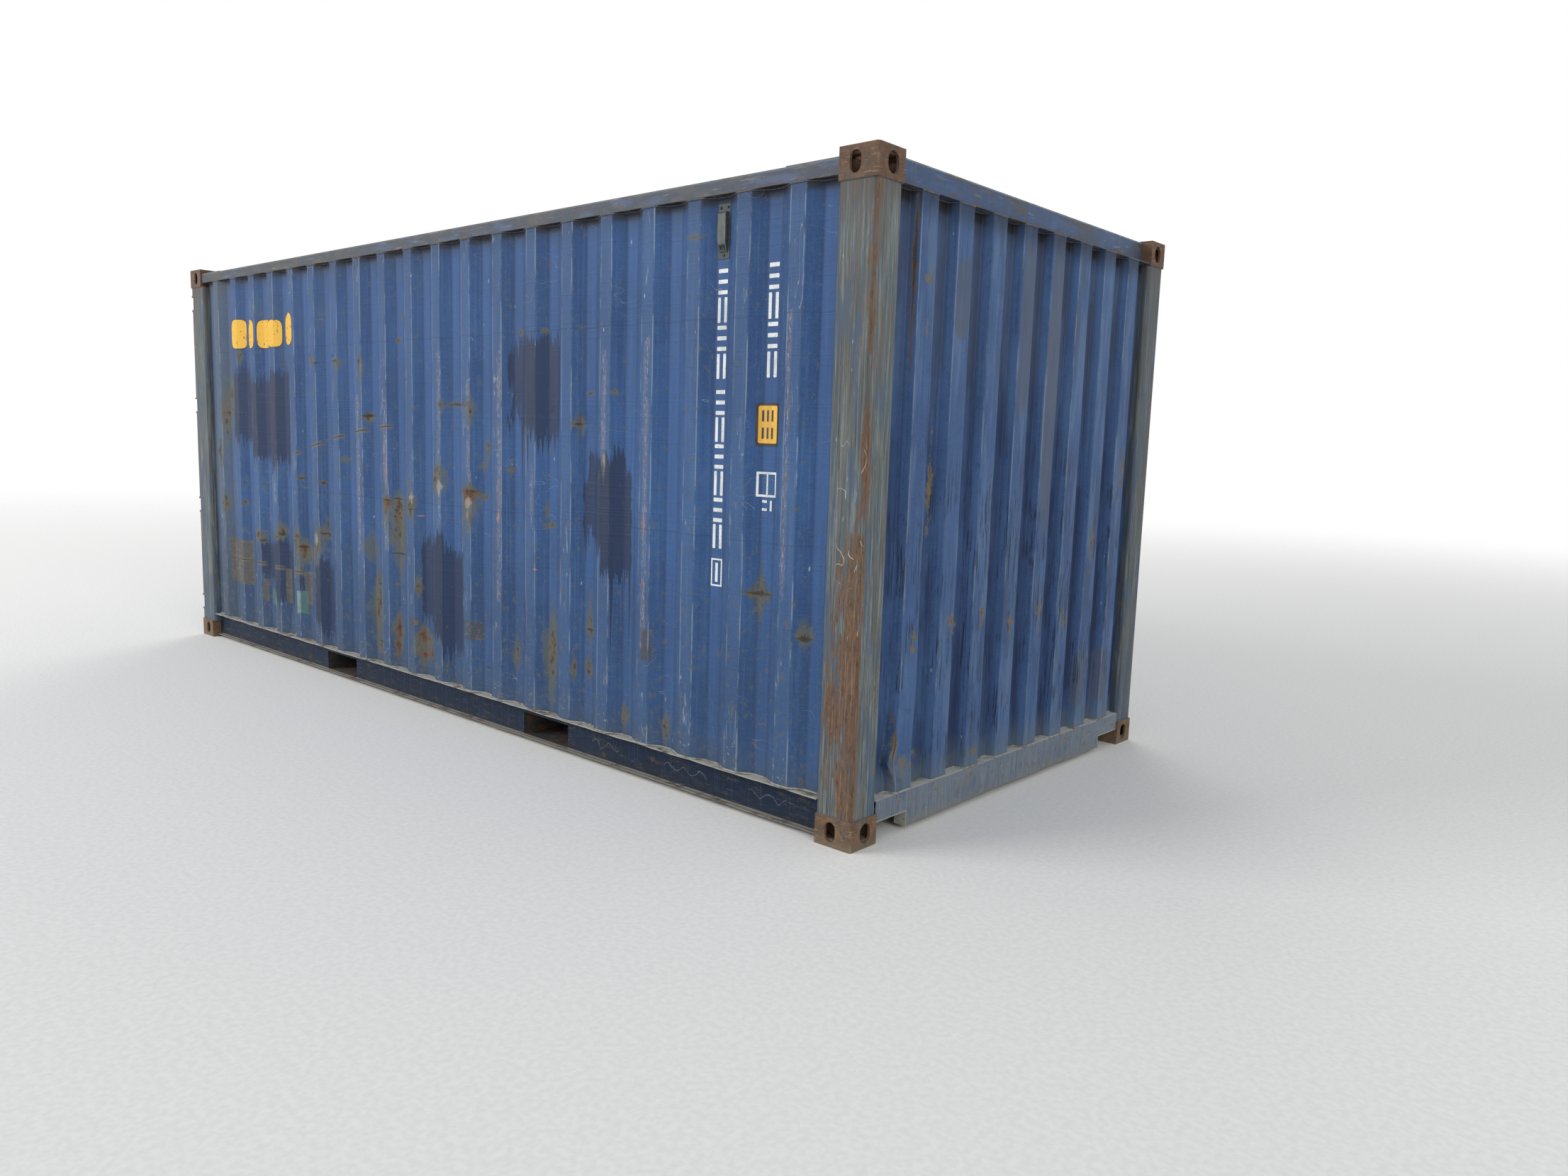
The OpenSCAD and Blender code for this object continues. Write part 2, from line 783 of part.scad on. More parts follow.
// Panel of a door, with recessed bands that run across
module door_panel(left) {
    out_x = door_x - sheet_t / 2;
    path = concat(
        [[out_x, panel_low]],
        [for (i = [0:door_waves - 1])
            let (c = panel_low + (i + 0.5) * panel_pitch)
            each [
                [out_x, c - door_band / 2 - door_slope],
                [out_x - door_depth, c - door_band / 2],
                [out_x - door_depth, c + door_band / 2],
                [out_x, c + door_band / 2 + door_slope]
            ]],
        [[out_x, panel_high]]
    );
    color("steelblue") on_end(true) on_side(left)
        crosswise(path, sheet_t, sheet_bend, -door_out_y + door_stile, -door_middle - door_stile);
}

// Rubber seal round a door
module door_seal(left) {
    front_x = post_channel_x + seal_back + seal_depth;
    color("dimgray") on_end(true) on_side(left) difference() {
        block([front_x - seal_depth, -seal_out_y, door_sill_top], [front_x, -0.2, stop_bottom]);
        block([front_x - seal_depth - 1, -door_out_y, door_bottom], [front_x + 1, -door_middle, door_top]);
    }
}

// Hinges of a door: strap, knuckle and pin, four of each
module hinges(left) {
    knuckle_height = hinge_notch - 2 * hinge_lug - 2;
    color("dimgray") on_end(true) on_side(left) for (z = hinge_zs) {
        translate([hinge_axis_x, -hinge_axis_y, z - knuckle_height / 2])
            cylinder(h = knuckle_height, d = hinge_knuckle, $fn = 32);
        translate([hinge_axis_x, -hinge_axis_y, z - hinge_notch / 2 - 3])
            cylinder(h = hinge_notch + 6, d = hinge_pin_d, $fn = 32);
        translate([door_x, -hinge_axis_y, z]) rotate([90, 0, 90]) linear_extrude(hinge_strap_t)
            strap_outline(hinge_axis_y - door_out_y + hinge_strap_lap);
    }
}

// Hinge strap, narrower towards its round end
module strap_outline(reach) {
    half = hinge_strap_height / 2;
    tip = half - 7;
    polygon([[0, -half], [reach - half, -tip], [reach - half, tip], [0, half]]);
    translate([reach - half, 0]) circle(r = tip, $fn = 40);
}

// Lock rod: a tube with a cam at both ends and its handle, which points to the side turn
module lock_rod(y, handle_z, turn) {
    low = door_bottom - rod_reach;
    high = door_top + rod_reach;
    color("silver") on_end(true) translate([rod_x, y, 0]) difference() {
        union() {
            translate([0, 0, low]) cylinder(h = high - low, d = rod_d, $fn = 32);
            rod_cam(low, turn);
            rod_cam(high - cam_height, turn);
            translate([0, 0, handle_z - 22]) cylinder(h = 44, d = rod_d + 8, $fn = 32);
            handle_bar(turn, rod_d / 2, handle_length, handle_z);
        }
        translate([0, 0, low - 1]) cylinder(h = high - low + 2, d = rod_d - 2 * rod_wall, $fn = 32);
    }
}

// Cam of a rod: a hub, a long nose that hooks into the keeper and a short heel
module rod_cam(z, turn) {
    translate([0, 0, z]) linear_extrude(cam_height) {
        circle(d = rod_d + 7, $fn = 40);
        for (reach = [turn * cam_reach, -turn * cam_heel]) {
            polygon([[rod_d / 2, 0], [cam_nose, reach], [-cam_nose, reach], [-rod_d / 2, 0]]);
            translate([0, reach]) circle(r = cam_nose, $fn = 32);
        }
    }
}

// Flat handle bar with a bent grip
module handle_bar(turn, from, reach, z) {
    path = [[-1, from - 2], [-1, reach - grip - 50], [5, reach - grip], [5, reach]];
    turned_path = [for (p = path) [p[0], p[1] * turn]];
    translate([0, 0, z - 15]) linear_extrude(30) plate_section(turned_path, 8, 12);
}

// Guide brackets of a door's two rods, and the catches of their handles
module rod_brackets(left) {
    zs = [door_bottom + door_rail / 2, panel_low + panel_pitch, panel_low + 3 * panel_pitch,
        panel_low + 4 * panel_pitch, door_top - door_rail / 2];
    color("gray") on_end(true) on_side(left) {
        for (y = [inner_rod_y, outer_rod_y]) for (z = zs) rod_bracket(-y, z);
        handle_catch(-outer_rod_y + handle_length - 60, outer_handle_z);
        handle_catch(-inner_rod_y - handle_length + 60, inner_handle_z);
    }
}

module rod_bracket(y, z) {
    bore = rod_d / 2 + rod_gap;
    difference() {
        union() {
            block([door_x, y - bracket_foot, z - bracket_height / 2],
                [door_x + 5, y + bracket_foot, z + bracket_height / 2]);
            block([door_x, y - bore - bracket_wall, z - bracket_height / 2],
                [rod_x, y + bore + bracket_wall, z + bracket_height / 2]);
            translate([rod_x, y, z - bracket_height / 2])
                cylinder(h = bracket_height, r = bore + bracket_wall, $fn = 48);
        }
        translate([rod_x, y, z - bracket_height]) cylinder(h = 2 * bracket_height, r = bore, $fn = 48);
    }
}

// Catch of a handle's grip: a plate on the door, bent out into a saddle under the grip
module handle_catch(y, z) {
    line = catch_t / 2;
    shelf_z = z - 17 - line;
    path = [
        [door_x + line, z + 50],
        [door_x + line, shelf_z],
        [rod_x + 16, shelf_z],
        [rod_x + 16, z - 4]
    ];
    crosswise(path, catch_t, catch_t, y - 20, y + 20);
}

// Keepers on the header and the sill that hold the cams
module cam_keepers() {
    low = door_bottom - rod_reach;
    color("gray") on_end(true) for (y = rod_ys) for (z = [low, door_top + rod_reach - cam_height])
        translate([0, y, z - 10]) linear_extrude(cam_height + 20) keeper_section();
}

// Section of a keeper: a base with two lugs, their lips turned in over the cam
module keeper_section() {
    out_y = keeper_lug_y + keeper_lug / 2;
    lip_x = rod_x + cam_nose + 5;
    for (s = [0, 1]) mirror([0, s]) polygon([
        [door_x, -0.1],
        [door_x + 4, -0.1],
        [door_x + 4, keeper_lug_y - keeper_lug / 2 - 4],
        [door_x + 8, keeper_lug_y - keeper_lug / 2],
        [lip_x, keeper_lug_y - keeper_lug / 2],
        [lip_x, cam_reach + 1],
        [lip_x + 6, cam_reach + 1],
        [lip_x + 6, out_y - 6],
        [lip_x, out_y],
        [door_x + 6, out_y],
        [door_x + 4, out_y + 12],
        [door_x, out_y + 12]
    ]);
}

// Ventilator in a trough of the side wall: a base plate and a hollow hood, slit on its sloped underside
module ventilator(x) {
    top = height - vent_drop;
    low = top - vent_plate_height;
    hood_low = low + vent_foot;
    slits = floor((vent_hood - 8) / vent_slit_pitch);
    color("dimgray") translate([x, -side_in - vent_seat, 0]) {
        block([-vent_plate / 2, -vent_t, low], [vent_plate / 2, 0, top]);
        difference() {
            hood_solid(hood_low, 0);
            hood_solid(hood_low, vent_t);
            for (i = [0:slits - 1])
                let (slit_x = (i - (slits - 1) / 2) * vent_slit_pitch)
                block([slit_x - 2.5, -vent_depth + 4, hood_low - 1], [slit_x + 2.5, -7, hood_low + vent_slope]);
        }
    }
}

// Outside of the hood, or its hollow when inset is the hood's wall
module hood_solid(low, inset) {
    high = low + vent_height - inset;
    face = vent_depth - inset;
    profile = [
        [-1 - inset / 2, low + 1.4 * inset],
        [-1 - inset / 2, high],
        [-face + 8, high],
        [-face, high - 10],
        [-face, low + vent_slope],
        [-5 + 0.55 * inset, low + 1.4 * inset]
    ];
    translate([inset - vent_hood / 2, 0, 0]) rotate([90, 0, 90])
        linear_extrude(vent_hood - 2 * inset) polygon(profile);
}

corner_casting(false, false, false);  // casting_front_right_bottom
corner_casting(false, true, false);  // casting_front_left_bottom
corner_casting(true, false, false);  // casting_rear_right_bottom
corner_casting(true, true, false);  // casting_rear_left_bottom
corner_casting(false, false, true);  // casting_front_right_top
corner_casting(false, true, true);  // casting_front_left_top
corner_casting(true, false, true);  // casting_rear_right_top
corner_casting(true, true, true);  // casting_rear_left_top
front_post(false);  // front_post_right
front_post(true);  // front_post_left
rear_post(false);  // rear_post_right
rear_post(true);  // rear_post_left
top_side_rail(false);  // top_side_rail_right
top_side_rail(true);  // top_side_rail_left
front_top_rail();
rear_header();
front_sill();
door_sill();
bottom_side_rail(false);  // bottom_side_rail_right
bottom_side_rail(true);  // bottom_side_rail_left
side_wall(false);  // right_wall
side_wall(true);  // left_wall
front_wall();
roof();
floor_boards();
cross_members();
fork_pocket(fork_x[1]);  // fork_pocket_front
fork_pocket(fork_x[0]);  // fork_pocket_rear
door_frame(false);  // door_frame_right
door_frame(true);  // door_frame_left
door_panel(false);  // door_panel_right
door_panel(true);  // door_panel_left
door_seal(false);  // door_seal_right
door_seal(true);  // door_seal_left
hinges(false);  // hinges_right
hinges(true);  // hinges_left
lock_rod(-outer_rod_y, outer_handle_z, 1);  // lock_rod_right_outer
lock_rod(-inner_rod_y, inner_handle_z, -1);  // lock_rod_right_inner
lock_rod(inner_rod_y, inner_handle_z, 1);  // lock_rod_left_inner
lock_rod(outer_rod_y, outer_handle_z, -1);  // lock_rod_left_outer
rod_brackets(false);  // rod_brackets_right
rod_brackets(true);  // rod_brackets_left
cam_keepers();
ventilator(side_shift + vent_far);  // ventilator_right
mirror([0, 1, 0]) ventilator(side_shift - vent_far);  // ventilator_left
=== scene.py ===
"""Weathered twenty foot shipping container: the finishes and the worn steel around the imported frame."""
import math

import bmesh
import bpy
from mathutils import Matrix, Vector


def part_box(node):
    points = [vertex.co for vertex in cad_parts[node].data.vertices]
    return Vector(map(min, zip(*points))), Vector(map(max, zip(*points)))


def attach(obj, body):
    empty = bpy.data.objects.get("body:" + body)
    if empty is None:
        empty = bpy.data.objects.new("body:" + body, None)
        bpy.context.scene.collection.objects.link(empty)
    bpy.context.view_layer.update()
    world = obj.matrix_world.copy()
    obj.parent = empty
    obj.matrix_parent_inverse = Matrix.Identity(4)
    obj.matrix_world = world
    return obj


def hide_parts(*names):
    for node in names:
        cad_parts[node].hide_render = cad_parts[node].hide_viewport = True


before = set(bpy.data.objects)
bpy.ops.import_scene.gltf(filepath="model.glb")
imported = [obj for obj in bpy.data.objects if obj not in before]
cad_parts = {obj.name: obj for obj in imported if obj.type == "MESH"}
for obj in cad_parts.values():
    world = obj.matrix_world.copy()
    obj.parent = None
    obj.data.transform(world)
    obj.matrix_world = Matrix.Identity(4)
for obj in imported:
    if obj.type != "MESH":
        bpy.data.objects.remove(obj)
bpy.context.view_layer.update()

# ---------------------------------------------------------------- sizes that come back, in metres

HALF_LENGTH = 3.029
HALF_WIDTH = 1.219
SIDE_PITCH = 0.278
SIDE_MIDDLE = 0.012
SIDE_CREST = 0.072
SIDE_SLOPE = 0.068
SIDE_BEND = SIDE_CREST / 2 + SIDE_SLOPE
SIDE_TROUGH_Y = 1.173
SIDE_CREST_Y = 1.209
SIDE_FIRST_CREST = -2.629
SIDE_CRESTS = 20
SIDE_ENDS = (-2.824, 2.846)
SIDE_FOOT = 0.175
SIDE_TOP = 2.498
END_PITCH = 0.2508
END_CREST = 0.106
END_SLOPE = 0.018
END_TROUGH_X = 2.9774
END_CREST_X = 3.023
END_CRESTS = 8
END_HALF = 1.057
END_FOOT = 0.170
END_TOP = 2.477
SHEET = 0.002
POST_SIDE_Y = 1.214
POST_FRONT_X = 3.024
TYPE_COLUMN_X = 2.236
SIZE_COLUMN_X = 2.514
PANEL_X = SIZE_COLUMN_X - 0.008
PANEL_Z = 1.6025
ARRIS = 0.0012
FOOT_BEAD = 0.0045
TOP_BEAD = 0.0030
POST_BEAD = 0.0032
FILM = 0.0009


def linear(value):
    """One channel of a colour as written on screen, 0 to 255, as light."""
    part = value / 255
    return part / 12.92 if part <= 0.04045 else ((part + 0.055) / 1.055) ** 2.4


def shade(red, green, blue):
    """A colour as written on screen, 0 to 255."""
    return (linear(red), linear(green), linear(blue), 1.0)


# ---------------------------------------------------------------- the shader's arithmetic


class Wire:
    """One value in a paint. Arithmetic on it adds the paint's Math nodes."""

    def __init__(self, paint, socket):
        self.paint = paint
        self.socket = socket

    def __add__(self, other):
        return self.paint.math("ADD", self, other)

    def __radd__(self, other):
        return self.paint.math("ADD", other, self)

    def __sub__(self, other):
        return self.paint.math("SUBTRACT", self, other)

    def __rsub__(self, other):
        return self.paint.math("SUBTRACT", other, self)

    def __mul__(self, other):
        return self.paint.math("MULTIPLY", self, other)

    def __rmul__(self, other):
        return self.paint.math("MULTIPLY", other, self)

    def __truediv__(self, other):
        return self.paint.math("DIVIDE", self, other)

    def __mod__(self, other):
        return self.paint.math("FLOORED_MODULO", self, other)

    def __or__(self, other):
        return self.paint.math("MAXIMUM", self, other)

    def __and__(self, other):
        return self.paint.math("MINIMUM", self, other)

    def __abs__(self):
        return self.paint.math("ABSOLUTE", self)

    def ease(self, start, end):
        """0 up to start and 1 from end on, or the other way round where start is the larger."""
        return self.paint.node(
            "MapRange",
            {"interpolation_type": "SMOOTHSTEP"},
            {"Value": self, "From Min": start, "From Max": end},
        )


class Paint:
    """One finish, written as expressions on place, x, y and z, the Object coordinates in metres."""

    def __init__(self, name, **fixed):
        self.material = bpy.data.materials.new(name)
        self.material.use_nodes = True
        self.tree = self.material.node_tree
        self.shader = self.tree.nodes["Principled BSDF"]
        for socket, value in fixed.items():
            self.shader.inputs[socket.replace("_", " ")].default_value = value
        self.place = self.node("TexCoord", out="Object")
        split = self.node("SeparateXYZ", {}, {0: self.place}).socket.node
        self.x, self.y, self.z = (Wire(self, socket) for socket in split.outputs)
        self.coat = None

    def node(self, kind, settings=None, sockets=None, out=0):
        """Adds a node with these settings and these values or links in its sockets. Returns one output."""
        made = self.tree.nodes.new("ShaderNode" + kind)
        for name, value in (settings or {}).items():
            setattr(made, name, value)
        for name, value in (sockets or {}).items():
            if isinstance(value, Wire):
                self.tree.links.new(value.socket, made.inputs[name])
            else:
                made.inputs[name].default_value = value
        return Wire(self, made.outputs[out])

    def math(self, work, *values):
        return self.node("Math", {"operation": work}, dict(enumerate(values)))

    def mix(self, mask, under, over):
        """The colour over on the colour under, where mask is 1. Each is a wire, or written as on screen."""
        under, over = (tint if isinstance(tint, Wire) else shade(*tint) for tint in (under, over))
        return self.node("Mix", {"data_type": "RGBA"}, {0: mask, 6: under, 7: over}, out=2)

    def prime(self, mask, under, over):
        """Starts the coat with two colours."""
        self.coat = self.mix(mask, under, over)

    def lay(self, mask, over):
        """Lays a colour on the coat so far, where mask is 1."""
        self.coat = self.mix(mask, self.coat, over)

    def spread(self, shift, lump):
        """The place, shifted, with a lump's size on each axis as its unit."""
        scale = tuple(1 / part for part in lump)
        return self.node("Mapping", {}, {"Vector": self.place, "Location": (shift,) * 3, "Scale": scale})

    def noise(self, size, stretch=(1, 1, 1), detail=2.0, shift=0.0, rough=0.5):
        """Cloudy noise, about 0.5 on average, with lumps of this size times the stretch on each axis."""
        spot = self.spread(shift, [size * part for part in stretch])
        sockets = {"Vector": spot, "Scale": 1.0, "Detail": detail, "Roughness": rough}
        return self.node("TexNoise", {}, sockets)

    def specks(self, spacing, size, share, shift=0.0, tall=1.0):
        """Scattered round specks, one at most in each cell of the spacing, in this share of the cells."""
        spot = self.spread(shift, (spacing, spacing, spacing * tall))
        cell = self.node("TexVoronoi", {}, {"Vector": spot, "Scale": 1.0}).socket.node
        lot = self.node("SeparateColor", {}, {0: Wire(self, cell.outputs["Color"])})
        near = Wire(self, cell.outputs["Distance"]).ease(size / spacing, 0.4 * size / spacing)
        return near * self.math("LESS_THAN", lot, share)

    def finish(self, rough, height):
        """Wires the finish up. Height is the relief in metres."""
        self.feed("Base Color", self.coat)
        self.feed("Roughness", rough)
        bump = self.node("Bump", {}, {"Strength": 1.0, "Distance": 1.0, "Height": height})
        self.feed("Normal", bump)
        return self

    def feed(self, socket, value):
        if isinstance(value, Wire):
            self.tree.links.new(value.socket, self.shader.inputs[socket])
        else:
            self.shader.inputs[socket].default_value = value

    def on(self, piece):
        """Gives this finish to the whole piece."""
        if not piece.material_slots:
            piece.data.materials.append(self.material)
        for place in piece.material_slots:
            place.material = self.material
        return piece


# ---------------------------------------------------------------- masks that several finishes share


def near_spots(across, up, spots, star=False):
    """1 at the middle of the nearest spot, 0 at its edge and -1 well outside. A spot is a diamond: (across,
    up, half width, half height, length of its drip). A star has its sides drawn in between its four tips."""
    math = across.paint.math
    nearest = None
    for middle, level, half_width, half_height, drip in spots:
        above = math("MULTIPLY_ADD", up, 1 / half_height, -level / half_height)
        below = math("MULTIPLY_ADD", up, -1 / drip, level / drip)
        tall = above | below
        wide = abs(math("MULTIPLY_ADD", across, 1 / half_width, -middle / half_width))
        if star:
            tall = math("SQRT", tall)
            wide = math("SQRT", wide)
        far = wide + tall
        nearest = far if nearest is None else nearest & far
    return (1 - nearest) | -1.0


def near_boxes(across, up, boxes):
    """As near_spots, for boxes with rounded corners: (left, right, bottom, top)."""
    nearest = None
    for left, right, bottom, top in boxes:
        wide = (across - (left + right) / 2) / ((right - left) / 2)
        tall = (up - (bottom + top) / 2) / ((top - bottom) / 2)
        wide = wide * wide
        tall = tall * tall
        near = 1 - (wide * wide + tall * tall)
        nearest = near if nearest is None else nearest | near
    return nearest


def brushed(across, up, strokes):
    """1 deep inside the nearest brush stroke, 0 at its edge. A stroke is (left, right, bottom, top)."""
    nearest = None
    for left, right, bottom, top in strokes:
        wide = abs(across - (left + right) / 2) - (right - left) / 2
        tall = abs(up - (bottom + top) / 2) - (top - bottom) / 2
        outside = wide | tall
        nearest = outside if nearest is None else nearest & outside
    return nearest * -20.0


def ragged(paint, size, reach, shift):
    """A shift of up to about the reach, which gives a placed mark a ragged edge."""
    return (paint.noise(size, (1, 1, 1.5), detail=5, shift=shift, rough=0.62) - 0.5) * (4 * reach)


def rusted(paint, amount, warm=(106, 86, 62), stain=(92, 97, 92)):
    """Lays an olive stain, flecks of warm rust and dark cores as the amount goes from 0.5 to 0.8."""
    fleck = paint.noise(0.024, (1, 1, 1.6), detail=7, shift=31, rough=0.78) - 0.5
    paint.lay((amount + fleck * 0.16).ease(0.49, 0.60) * 0.66, stain)
    paint.lay((amount + fleck * 0.50).ease(0.60, 0.68) * 0.80, warm)
    paint.lay((amount - fleck * 0.50).ease(0.67, 0.74) * 0.80, (62, 52, 44))


def sea_coat(paint, deep, chalky, shift=0.0):
    """The blue coat: cloudy tone, chalk and dirt in rain streaks, fine grain. Returns relief and mottle."""
    cloud = paint.noise(0.55, detail=3, shift=shift)
    paint.prime(cloud.ease(0.36, 0.64), deep, chalky)
    rain = paint.noise(0.012, (1, 1, 45), detail=4, shift=shift + 2, rough=0.6)
    paint.lay(rain.ease(0.50, 0.70) * 0.45, (72, 104, 148))
    paint.lay(rain.ease(0.48, 0.32) * 0.55, (34, 56, 96))
    mottle = paint.noise(0.045, detail=6, shift=shift + 4, rough=0.68)
    paint.lay(mottle.ease(0.50, 0.72) * 0.34, (76, 102, 136))
    paint.lay(mottle.ease(0.46, 0.30) * 0.45, (36, 55, 90))
    grain = paint.noise(0.0035, detail=2, shift=shift)
    paint.lay(grain.ease(0.35, 0.75) * 0.26, (88, 116, 154))
    paint.lay(grain.ease(0.50, 0.25) * 0.26, (30, 48, 82))
    relief = grain * 0.00008 + mottle * 0.0005
    return relief, mottle


# ---------------------------------------------------------------- the side walls

STROKES = (
    (-2.392, -2.335, 1.43, 1.88),
    (-2.350, -2.135, 1.42, 1.90),
    (-2.150, -1.900, 1.32, 1.83),
    (-1.910, -1.780, 1.25, 1.84),
    (-1.830, -1.570, 1.31, 1.88),
    (-2.045, -1.975, 0.52, 0.74),
    (-1.985, -1.830, 0.51, 0.76),
    (-1.835, -1.690, 0.38, 0.795),
    (-1.700, -1.635, 0.36, 0.78),
    (-1.485, -1.445, 0.50, 0.655),
    (-1.270, -1.190, 0.30, 0.70),
    (-1.200, -1.145, 0.22, 0.735),
    (-1.150, -1.085, 0.25, 0.67),
    (-0.050, 0.050, 0.50, 0.93),
    (0.040, 0.120, 0.47, 0.965),
    (0.110, 0.200, 0.44, 0.975),
    (0.185, 0.260, 0.34, 0.915),
    (0.250, 0.402, 0.36, 0.900),
    (0.776, 0.850, 1.79, 1.955),
    (0.800, 0.900, 1.66, 1.970),
    (0.772, 0.850, 1.605, 1.655),
    (0.850, 1.000, 1.56, 2.000),
    (0.950, 1.100, 1.52, 1.990),
    (1.080, 1.190, 1.53, 1.950),
    (1.356, 1.392, 1.10, 1.350),
    (1.388, 1.470, 1.08, 1.450),
    (1.465, 1.530, 1.02, 1.430),
    (1.520, 1.600, 0.93, 1.430),
    (1.590, 1.655, 0.90, 1.480),
    (1.645, 1.695, 0.91, 1.380),
)
DRIPS = (
    (1.592, 0.92, 0.010, 0.05, 0.42),
    (1.686, 0.95, 0.008, 0.05, 0.46),
    (1.372, 1.12, 0.014, 0.05, 0.20),
    (0.873, 1.56, 0.011, 0.05, 0.31),
    (0.965, 1.52, 0.008, 0.05, 0.19),
    (1.037, 1.52, 0.010, 0.05, 0.10),
    (1.058, 1.53, 0.010, 0.05, 0.11),
    (1.086, 1.53, 0.009, 0.05, 0.10),
    (1.133, 1.54, 0.010, 0.05, 0.11),
    (0.232, 0.36, 0.012, 0.05, 0.10),
    (-1.780, 0.40, 0.012, 0.05, 0.14),
    (-1.676, 0.40, 0.012, 0.05, 0.12),
    (-1.860, 1.28, 0.010, 0.05, 0.14),
    (-1.770, 1.33, 0.010, 0.05, 0.22),
    (-1.660, 1.33, 0.012, 0.05, 0.16),
)
TAPE_PATCHES = (
    (-2.563, -2.225, 0.440, 0.750),
    (-1.720, -1.660, 0.380, 0.610),
    (-1.445, -1.370, 0.400, 0.620),
    (-2.030, -1.985, 0.360, 0.510),
    (0.413, 0.540, 0.452, 0.552),
    (-0.141, -0.065, 0.445, 0.497),
    (1.807, 1.871, 0.557, 0.700),
)
GREEN_PATCHES = (
    (-1.960, -1.820, 0.340, 0.450),
    (-1.525, -1.420, 0.338, 0.495),
    (-2.820, -2.745, 0.388, 0.402),
)
SCUFFS = (
    (-1.590, -1.548, 0.85, 1.85),
    (-1.815, -1.775, 1.00, 1.32),
    (-0.712, -0.672, 0.82, 1.75),
    (-0.412, -0.366, 0.86, 1.75),
    (0.152, 0.192, 1.02, 1.95),
    (0.428, 0.468, 1.00, 1.80),
    (0.700, 0.745, 0.70, 1.92),
    (0.980, 1.010, 1.10, 1.36),
    (1.515, 1.555, 1.42, 1.90),
    (1.798, 1.838, 0.60, 1.95),
    (2.618, 2.648, 0.95, 2.05),
)
LEFT_STROKES = (
    (-1.660, -1.560, 0.92, 1.22),
    (-1.570, -1.440, 0.86, 1.26),
    (-0.120, -0.010, 0.52, 0.84),
    (-0.020, 0.140, 0.46, 0.88),
    (0.130, 0.200, 0.55, 0.80),
    (1.260, 1.350, 1.50, 1.82),
    (1.340, 1.520, 1.46, 1.86),
)
LEFT_SCUFFS = (
    (-2.090, -2.050, 0.80, 1.60),
    (-1.260, -1.220, 1.10, 1.95),
    (-0.420, -0.380, 0.70, 1.50),
    (0.130, 0.170, 1.20, 1.90),
    (0.690, 0.730, 0.80, 1.70),
    (1.800, 1.840, 0.90, 1.85),
    (2.360, 2.400, 1.00, 1.50),
)
LEFT_RUST = (
    (-2.49, 0.72, 0.050, 0.10, 0.20),
    (-2.21, 1.42, 0.040, 0.05, 0.10),
    (-1.93, 0.66, 0.050, 0.08, 0.16),
    (-1.66, 1.70, 0.036, 0.03, 0.05),
    (-1.10, 0.58, 0.045, 0.12, 0.14),
    (-0.82, 1.16, 0.040, 0.06, 0.14),
    (-0.55, 0.42, 0.050, 0.12, 0.14),
    (-0.27, 1.66, 0.050, 0.02, 0.03),
    (0.29, 0.40, 0.045, 0.14, 0.16),
    (0.57, 1.30, 0.036, 0.04, 0.08),
    (0.70, 0.92, 0.070, 0.07, 0.22),
    (0.98, 0.44, 0.050, 0.08, 0.14),
    (1.40, 0.72, 0.040, 0.05, 0.10),
    (1.67, 1.96, 0.036, 0.02, 0.04),
    (1.96, 0.50, 0.045, 0.12, 0.18),
    (2.10, 1.18, 0.050, 0.07, 0.18),
    (2.50, 0.62, 0.040, 0.06, 0.12),
)
PRIMER_SPOTS = (
    (0.435, 1.105, 0.013, 0.030, 0.03),
    (0.715, 1.110, 0.014, 0.035, 0.03),
    (1.020, 0.880, 0.016, 0.010, 0.01),
    (1.816, 1.160, 0.006, 0.070, 0.07),
    (1.822, 0.900, 0.005, 0.050, 0.05),
    (-0.050, 1.068, 0.030, 0.006, 0.006),
    (-0.376, 1.300, 0.008, 0.110, 0.10),
)
